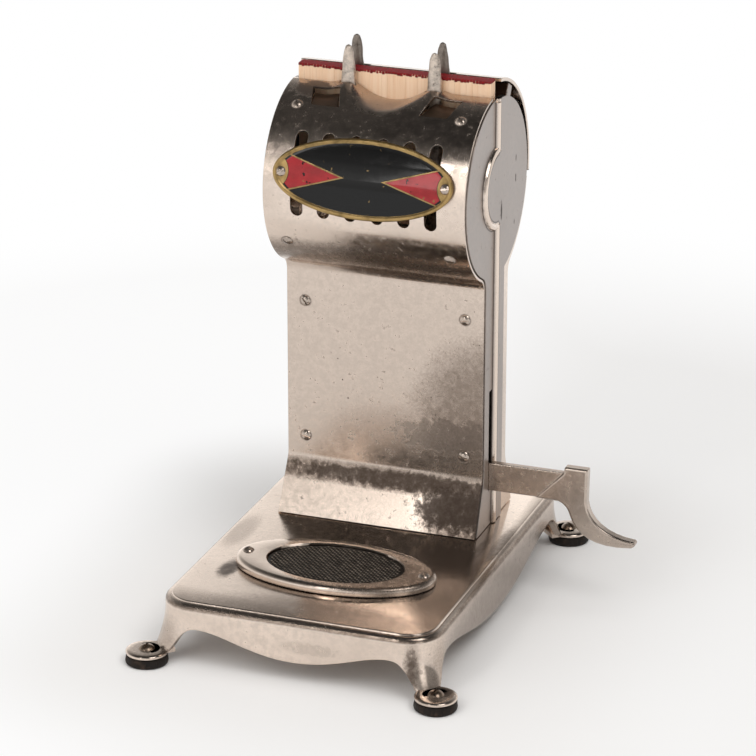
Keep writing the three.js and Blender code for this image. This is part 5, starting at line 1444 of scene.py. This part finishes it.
class BuildPlate(bpy.types.Operator):
    """Oval name plate: raised brass rim, dark field and two red wedges"""
    bl_idname = "dispenser.build_plate"
    bl_label = "Name plate"

    def execute(self, context):
        size = sizes()
        low = mm(size.drum_radius) + SEAT
        half_long, half_wide, rim = mm(size.plate_length) / 2, mm(size.plate_width) / 2, mm(size.plate_rim)
        count, field, rim_top = 128, 1.0, 1.68
        profile = [(3.0, 0.0), (0.3, 0.0), (0.0, 0.25), (0.0, 1.25), (0.12, 1.55), (0.4, rim_top),
                   (rim * 0.6, rim_top), (rim - 0.25, 1.5), (rim, 1.1)]
        profile += [(rim + more, field) for more in (0.25, 1.5, 4.0, 7.5)] + [(half_wide - 0.6, field)]
        tilt = math.radians(PLATE_ANGLE)
        rings, flats = [], []
        for inset, height in profile:
            ring = []
            for k in range(count):
                angle = -FULL_TURN * k / count
                x, w = (half_long - inset) * math.cos(angle), (half_wide - inset) * math.sin(angle)
                at = math.asin(w / low) + tilt
                ring.append(drum_spot(math.degrees(at), x, SEAT + height))
                flats.append((x / (2 * half_long) + 0.5, w / (2 * half_wide) + 0.5) if height else (0.0, 0.0))
            rings.append(ring)
        points, faces = loft(rings)
        mesh = mesh_of("name_plate_finished", placed(points), faces, material("plate"))
        layer = mesh.uv_layers.new(name="plate")
        for loop in mesh.loops:
            layer.data[loop.index].uv = flats[loop.vertex_index]
        outwards(mesh, merged=False)
        smooth(mesh, 45)
        finish_piece(new_object("name_plate_finished", mesh), "dispenser", ["name_plate"])
        return {"FINISHED"}


# Screws

class BuildScrews(bpy.types.Operator):
    """All slotted screws, one group for each size"""
    bl_idname = "dispenser.build_screws"
    bl_label = "Screws"

    def execute(self, context):
        tree = screw_tree()
        turns = random.Random(5)
        front, back = SEAM_Y - mm(sizes().column_front), SEAM_Y + 14.4
        up, down, proud = (0, 0, 1), (0, 0, -1), 0.02

        def on_drum_at(angle, x, out, turn):
            tilt = math.radians(angle)
            return drum_spot(angle, x, out), (0.0, -math.cos(tilt), math.sin(tilt)), turn

        def any_turn():
            return turns.uniform(0, 180)

        places, names = [], []
        for level, angle in DRUM_SCREWS:
            for hand, side in HANDS:
                places.append(on_drum_at(angle, side * SCREW_X, proud, any_turn()))
                names.append(f"drum_screw_{level}_{hand}")
        for level, z in COLUMN_SCREWS:
            for hand, side in HANDS:
                places.append(((side * SCREW_X, front - proud, BASE_TOP + z), (0, -1, 0), any_turn()))
                names.append(f"column_screw_{level}_{hand}")
                places.append(((side * SCREW_X, back + proud, BASE_TOP + z), (0, 1, 0), any_turn()))
                names.append(f"rear_screw_{level}_{hand}")
        screws("cover_screws", tree, COVER_SCREW, places, "screws", names)

        places = [on_drum_at(PLATE_ANGLE, x, SEAT + 1.0, turn) for x, turn in ((-28.5, 38), (28.5, 12))]
        screws("plate_screws", tree, PLATE_SCREW, places, "screws",
               ["plate_screw_left", "plate_screw_right"])

        places = [((x, STRIKER_Y, BASE_TOP + SEAT + 3.0), up, turn) for x, turn in ((-31, 62), (31, 118))]
        screws("striker_screws", tree, STRIKER_SCREW, places, "screws",
               ["striker_screw_left", "striker_screw_right"])

        places = [((x, y, 4.92), up, turn) for (x, y), turn in zip(foot_places().values(), (95, 75, 20, 140))]
        screws("foot_screws", tree, FOOT_SCREW, places, "dull_screws",
               ["foot_screw_" + corner for corner in CORNERS])

        places, names = [], []
        for end, y in (("front", -6.5), ("rear", 7.6)):
            for hand, side in HANDS:
                places.append(((side * 27.5, SEAM_Y + y, BASE_TOP - 2.8 - proud), down, any_turn()))
                names.append(f"base_screw_{end}_{hand}")
        screws("base_screws", tree, BASE_SCREW, places, "steel", names)

        places = [((x, SEAM_Y - 3.0, BASE_TOP + SEAT + 2.42), up, turn)
                  for x, turn in ((11.0, 0), (17.0, 30))]
        screws("bracket_screws", tree, BRACKET_SCREW, places, "steel",
               ["bracket_screw_1", "bracket_screw_2"])
        return {"FINISHED"}


# Lever and lifter

class BuildLever(bpy.types.Operator):
    """Lever with its thumb piece, and the bracket and pins that it turns on"""
    bl_idname = "dispenser.build_lever"
    bl_label = "Lever"

    def execute(self, context):
        softened("lever", "lever", "lever", 0.3, 3, 35)
        softened("drive_pin", "lever", "steel", 0.15)
        softened("pivot_bracket", "dispenser", "steel", 0.25)
        softened("pivot_pin", "dispenser", "steel", 0.15)
        return {"FINISHED"}


def prong(x, y, top, low, seed):
    """A blunt prong with a slightly uneven cast skin"""
    half_wide, half_thick, squareness, count = 2.6, 1.3, 2.6, 28
    skin = random.Random(seed)
    waves = []
    for _ in range(9):
        waves.append((skin.uniform(0.25, 1.1), skin.uniform(0, 6.3), skin.choice((1, 2, 3)),
                      skin.uniform(0.015, 0.04)))
    heights = (low, top - 15, top - 9, top - 5, top - 2.2, top - 0.6, top - 0.12, top)
    shares = (1.0, 1.0, 0.9, 0.74, 0.6, 0.4, 0.2, 0.06)
    rings = []
    for z in [*np.arange(low, top - 3, 0.9), *np.linspace(top - 3, top, 12)]:
        share = float(np.interp(z, heights, shares))
        ring = []
        for a in (FULL_TURN * k / count for k in range(count)):
            bump = sum(s * math.sin(f * z + p + n * a) for f, p, n, s in waves) * min(1.0, share * 1.5)
            c, s = math.cos(a), math.sin(a)
            squared = (abs(c) ** squareness + abs(s) ** squareness) ** (-1 / squareness)
            ring.append((x + (half_wide * share * squared + bump) * c,
                         y + (half_thick * share * squared + bump * 0.6) * s, z))
        rings.append(ring)
    return loft(rings)


class BuildLifter(bpy.types.Operator):
    """Lifter plate, yoke and rivets, and the two forks with their rough prongs"""
    bl_idname = "dispenser.build_lifter"
    bl_label = "Lifter and forks"

    def execute(self, context):
        for node, width in (("lifter_plate", 0.2), ("fork_yoke", 0.2), ("yoke_rivet_left", 0.15),
                            ("yoke_rivet_right", 0.15)):
            softened(node, "lifter", "steel", width)
        cradle = BASE_TOP + 107.7
        prong_y, front_top, rear_top = COMB_HALF + 0.3 + 1.3, BASE_TOP + 165.0, BASE_TOP + 166.5
        reach = prong_y + 1.25
        for i, (hand, side) in enumerate(HANDS):
            x = side * FORK_X
            parts = [prong(x, SEAM_Y + y, top, cradle - 1.0, 11 + 3 * i + (y > 0))
                     for y, top in ((-prong_y, front_top), (prong_y, rear_top))]
            parts.append(loft([[(x + a * 2.55, SEAM_Y + b * reach, z)
                                for a, b in ((-1, -1), (1, -1), (1, 1), (-1, 1))]
                               for z in (cradle - 5.0, cradle)]))
            parts.append(loft([oval(x, SEAM_Y - 1.2, 1.5, 1.5, z, 16) for z in (cradle - 9.4, cradle - 4.0)]))
            lofted_piece(f"fork_{hand}_finished", parts, "forks", 40, "lifter",
                         [f"fork_{hand}"])
        return {"FINISHED"}


# Matches

def comb_tree():
    """A row of splints side by side, each with a dipped head of its own length"""
    recipe = Recipe("match_row")
    whole, pitch = recipe.value("Row Width"), recipe.value("Splint Width")
    deep, tall = recipe.value("Thickness"), recipe.value("Height")
    head = recipe.value("Head Length")
    wood, dip = recipe.value("Wood", "NodeSocketMaterial"), recipe.value("Dip", "NodeSocketMaterial")
    count = recipe.maths("ROUND", recipe.over(whole, pitch))
    step = recipe.over(whole, count)
    start = recipe.plus(recipe.times(whole, -0.5), recipe.times(step, 0.5))
    line = recipe.row(count, start, step)
    stick = recipe.raised(recipe.cube(recipe.times(step, 0.985), deep, tall), recipe.times(tall, 0.5))
    spread = recipe.random_scale((0.985, 0.94, 0.996), (1.0, 1.0, 1.0), 3)
    sticks = recipe.on_points(line, recipe.finished(stick, wood), Scale=spread)
    dip_skin, dip_rise = 0.22 * MM, 0.12 * MM
    cap = recipe.cube(recipe.times(step, 1.04), recipe.plus(deep, dip_skin), head)
    cap = recipe.add("GeometryNodeSubdivisionSurface", {"Mesh": cap, "Level": 2, "Edge Crease": 0.75})
    cap = recipe.raised(cap, recipe.times(head, -0.5))
    half_start = recipe.minus(start, recipe.times(step, 0.25))
    halves = recipe.row(recipe.times(count, 2.0), half_start, recipe.times(step, 0.5))
    lengths = recipe.random_scale((0.55, 0.97, 0.72), (0.62, 1.0, 1.22), 9)
    caps = recipe.on_points(halves, recipe.finished(cap, dip), Scale=lengths)
    caps = recipe.raised(caps, recipe.plus(tall, dip_rise))
    return recipe.finish(recipe.add("GeometryNodeJoinGeometry", {"Geometry": [sticks, caps]}))


class BuildMatches(bpy.types.Operator):
    """Comb of matches: pale splints side by side with dark red heads"""
    bl_idname = "dispenser.build_matches"
    bl_label = "Matches"

    def execute(self, context):
        low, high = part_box("match_comb")
        size = sizes()
        top_gap = 0.2 * MM
        piece = grown("match_comb_finished", comb_tree(), {
            "Row Width": high.x - low.x, "Splint Width": size.splint_width, "Thickness": high.y - low.y,
            "Height": high.z - low.z - top_gap, "Head Length": size.head_length,
            "Wood": material("wood"), "Dip": material("heads")})
        piece.data.transform(Matrix.Translation(((low.x + high.x) / 2, (low.y + high.y) / 2, low.z)))
        smooth(piece.data, 35)
        finish_piece(piece, "match_comb", ["match_comb"])
        return {"FINISHED"}


# Stage. Light levels are pairs of a place from 0 to 1 and a strength.

BY_HEIGHT = ((0.0, 0.8), (0.12, 1.0), (0.24, 1.0), (0.36, 0.72), (0.48, 0.38), (0.6, 0.24), (0.74, 0.08),
             (0.88, 0.03), (1.0, 0.03))
BY_DIRECTION = ((0.0, 1.0), (0.04, 1.35), (0.08, 1.35), (0.13, 1.0), (0.53, 1.0), (0.57, 0.4), (0.6, 0.35),
                (0.62, 1.2), (0.66, 1.2), (0.68, 0.3), (0.78, 0.3), (0.86, 0.9), (1.0, 1.0))
WARM_WHITE = (1.0, 0.985, 0.965, 1.0)
PURE_WHITE = (1.0, 1.0, 1.0, 1.0)
LAMP_WHITE = (1.0, 0.98, 0.96)

# Lamps: place and target in metres, size, power in watts, and whether it shows in reflections
LAMPS = {
    "key": ((0.75, -0.45, 1.25), (0, 0, 0.06), (0.7, 0.7), 5.0, True),
    "fill": ((-0.7, -1.0, 0.9), (0, 0, 0.06), (1.2, 1.0), 3.5, False),
    "ceiling": ((0.1, -0.3, 1.6), (0, 0, 0), (2.4, 2.4), 20.5, False),
    "strip": ((-0.208, -0.7, 0.37), (0.02, -0.003, 0.142), (0.09, 0.24), 0.2, True),
    "glint": ((-0.237, -0.7, 0.645), (0.012, -0.003, 0.15), (0.048, 0.15), 0.25, True),
}

# The camera: place in the drawing, and the directions of its picture
VIEW_PLACE = (392.252, -1068.753, 518.410)
VIEW_RIGHT = (0.93713, 0.34897, -0.00180)
VIEW_UP = (-0.12355, 0.33659, 0.93351)
VIEW_BACK = (0.32638, -0.87460, 0.35854)
VIEW_LENS, VIEW_SENSOR = 174.88, 36.0
VIEW_SHIFT = (0.0408, -0.0033)


def studio_floor():
    """Pale paper: it keeps the shadow near the object, shows white further away, and has painted light near
    the object, stronger on the left
    """
    shades = Shades("studio_paper")
    away = shades.vector_maths("DISTANCE", shades.coordinates, out="Value")
    x, y, _ = shades.split()
    beyond = []
    for place, half, middle in ((x, 0.05, CENTRE_X), (y, 0.072, 0.0)):
        beyond.append(shades.larger(shades.minus(shades.size_of(shades.minus(place, middle)), half), 0.0))
    # Painted light: near the object the paper glows white for the camera, more on the left than on the right.
    painted_light_left = shades.between(x, 0.0, -0.09, 0.38, 0.85)
    near = shades.times(shades.between(shades.hypotenuse(*beyond), 0.01, 0.085), painted_light_left)
    far = shades.larger(shades.between(away, 0.13, 0.42), near)
    path = shades.tree.nodes.new("ShaderNodeLightPath").outputs
    reflected = shades.larger(path["Is Glossy Ray"], path["Is Transmission Ray"])
    seen = shades.larger(path["Is Camera Ray"], reflected)
    paper = shades.add("ShaderNodeBsdfDiffuse", {"Color": tuple(finish().floor)})
    white = shades.add("ShaderNodeEmission", {"Color": PURE_WHITE, "Strength": 1.0})
    shades.end(shades.add("ShaderNodeMixShader", {0: shades.times(far, seen), 1: paper, 2: white}))
    return shades.material


def studio_world():
    """White for the camera. Elsewhere bright near the horizon and dark overhead, as under a high ceiling."""
    world = bpy.data.worlds.new("studio")
    bpy.context.scene.world = world
    world.use_nodes = True
    tree = world.node_tree
    tree.nodes.clear()

    def add(kind, inputs, **settings):
        node = tree.nodes.new(kind)
        for key, setting in settings.items():
            setattr(node, key, setting)
        for key, given in inputs.items():
            if isinstance(given, bpy.types.NodeSocket):
                tree.links.new(given, node.inputs[key])
            else:
                node.inputs[key].default_value = given
        return node.outputs

    def levels(place, pairs):
        light = add("ShaderNodeValToRGB", {0: place})
        ramp = light[0].node.color_ramp
        ramp.interpolation = "EASE"
        while len(ramp.elements) < len(pairs):
            ramp.elements.new(0.5)
        for stop, (at, level) in zip(ramp.elements, pairs):
            stop.position = at
            stop.color = (level, level, level, 1.0)
        return light[0]

    direction = add("ShaderNodeTexCoord", {})["Generated"]
    x, y, z = add("ShaderNodeSeparateXYZ", {0: direction})
    forward = add("ShaderNodeMath", {0: y, 1: -1.0}, operation="MULTIPLY")[0]
    turn = add("ShaderNodeMath", {0: x, 1: forward}, operation="ARCTAN2")[0]
    around = add("ShaderNodeMapRange", {"Value": turn, "From Min": -math.pi, "From Max": math.pi})[0]
    strength = add("ShaderNodeMath", {0: levels(z, BY_HEIGHT), 1: levels(around, BY_DIRECTION)},
                   operation="MULTIPLY")[0]
    shade = add("ShaderNodeBackground", {"Color": WARM_WHITE, "Strength": strength})[0]
    white = add("ShaderNodeBackground", {"Color": PURE_WHITE})[0]
    seen = add("ShaderNodeLightPath", {})["Is Camera Ray"]
    both = add("ShaderNodeMixShader", {0: seen, 1: shade, 2: white})[0]
    add("ShaderNodeOutputWorld", {0: both})


def soft_lamp(name, place, target, size, power, reflected):
    lamp = bpy.data.lights.new(name, "AREA")
    lamp.shape = "RECTANGLE"
    lamp.size, lamp.size_y = size
    lamp.energy = power
    lamp.color = LAMP_WHITE
    holder = new_object(name, lamp)
    holder.location = place
    holder.rotation_euler = (Vector(target) - Vector(place)).to_track_quat("-Z", "Y").to_euler()
    holder.visible_glossy = reflected


def studio_camera():
    camera = bpy.data.cameras.new("view")
    camera.lens = VIEW_LENS
    camera.sensor_width = VIEW_SENSOR
    camera.sensor_fit = "HORIZONTAL"
    camera.shift_x, camera.shift_y = VIEW_SHIFT
    camera.clip_start, camera.clip_end = 0.05, 50.0
    holder = new_object("view", camera)
    turn = Matrix((VIEW_RIGHT, VIEW_UP, VIEW_BACK)).transposed().to_4x4()
    holder.matrix_world = Matrix.Translation(placed([VIEW_PLACE])[0]) @ turn
    return holder


class BuildStage(bpy.types.Operator):
    """Pale floor, soft studio light and the camera"""
    bl_idname = "dispenser.build_stage"
    bl_label = "Stage"

    def execute(self, context):
        scene = context.scene
        scene.view_settings.view_transform = "Standard"
        half = 6.0
        mesh = bpy.data.meshes.new("paper_floor")
        mesh.from_pydata([(-half, -half, 0), (half, -half, 0), (half, half, 0), (-half, half, 0)], [],
                         [(0, 1, 2, 3)])
        mesh.materials.append(studio_floor())
        new_object("paper_floor", mesh)
        studio_world()
        for name, lamp in LAMPS.items():
            soft_lamp(name, *lamp)
        scene.camera = studio_camera()
        return {"FINISHED"}


# Add-on

BUILDERS = (BuildBase, BuildFeet, BuildStriker, BuildFrontCover, BuildSides, BuildPlate, BuildScrews,
            BuildLever, BuildLifter, BuildMatches, BuildStage)


class DispenserPanel(bpy.types.Panel):
    """The pieces and their sizes and colours"""
    bl_idname = "VIEW3D_PT_match_dispenser"
    bl_label = "Match Dispenser"
    bl_space_type = "VIEW_3D"
    bl_region_type = "UI"
    bl_category = "Dispenser"

    def draw(self, context):
        layout = self.layout
        for builder in BUILDERS:
            layout.operator(builder.bl_idname)
        groups = (("Sizes", context.scene.dispenser_sizes), ("Finish", context.scene.dispenser_finish))
        for label, group in groups:
            column = layout.column(align=True)
            column.label(text=label)
            for name in group.__annotations__:
                column.prop(group, name)


CLASSES = (DispenserSizes, DispenserFinish, *BUILDERS, DispenserPanel)


def register():
    for one in CLASSES:
        bpy.utils.register_class(one)
    bpy.types.Scene.dispenser_sizes = bpy.props.PointerProperty(type=DispenserSizes)
    bpy.types.Scene.dispenser_finish = bpy.props.PointerProperty(type=DispenserFinish)


def unregister():
    del bpy.types.Scene.dispenser_finish
    del bpy.types.Scene.dispenser_sizes
    for one in reversed(CLASSES):
        bpy.utils.unregister_class(one)


def main():
    register()
    for builder in BUILDERS:
        call = getattr(bpy.ops.dispenser, builder.bl_idname.split(".")[1])
        if call() != {"FINISHED"}:
            raise RuntimeError(f"{builder.bl_label} wasn't built")


if __name__ == "__main__":
    main()
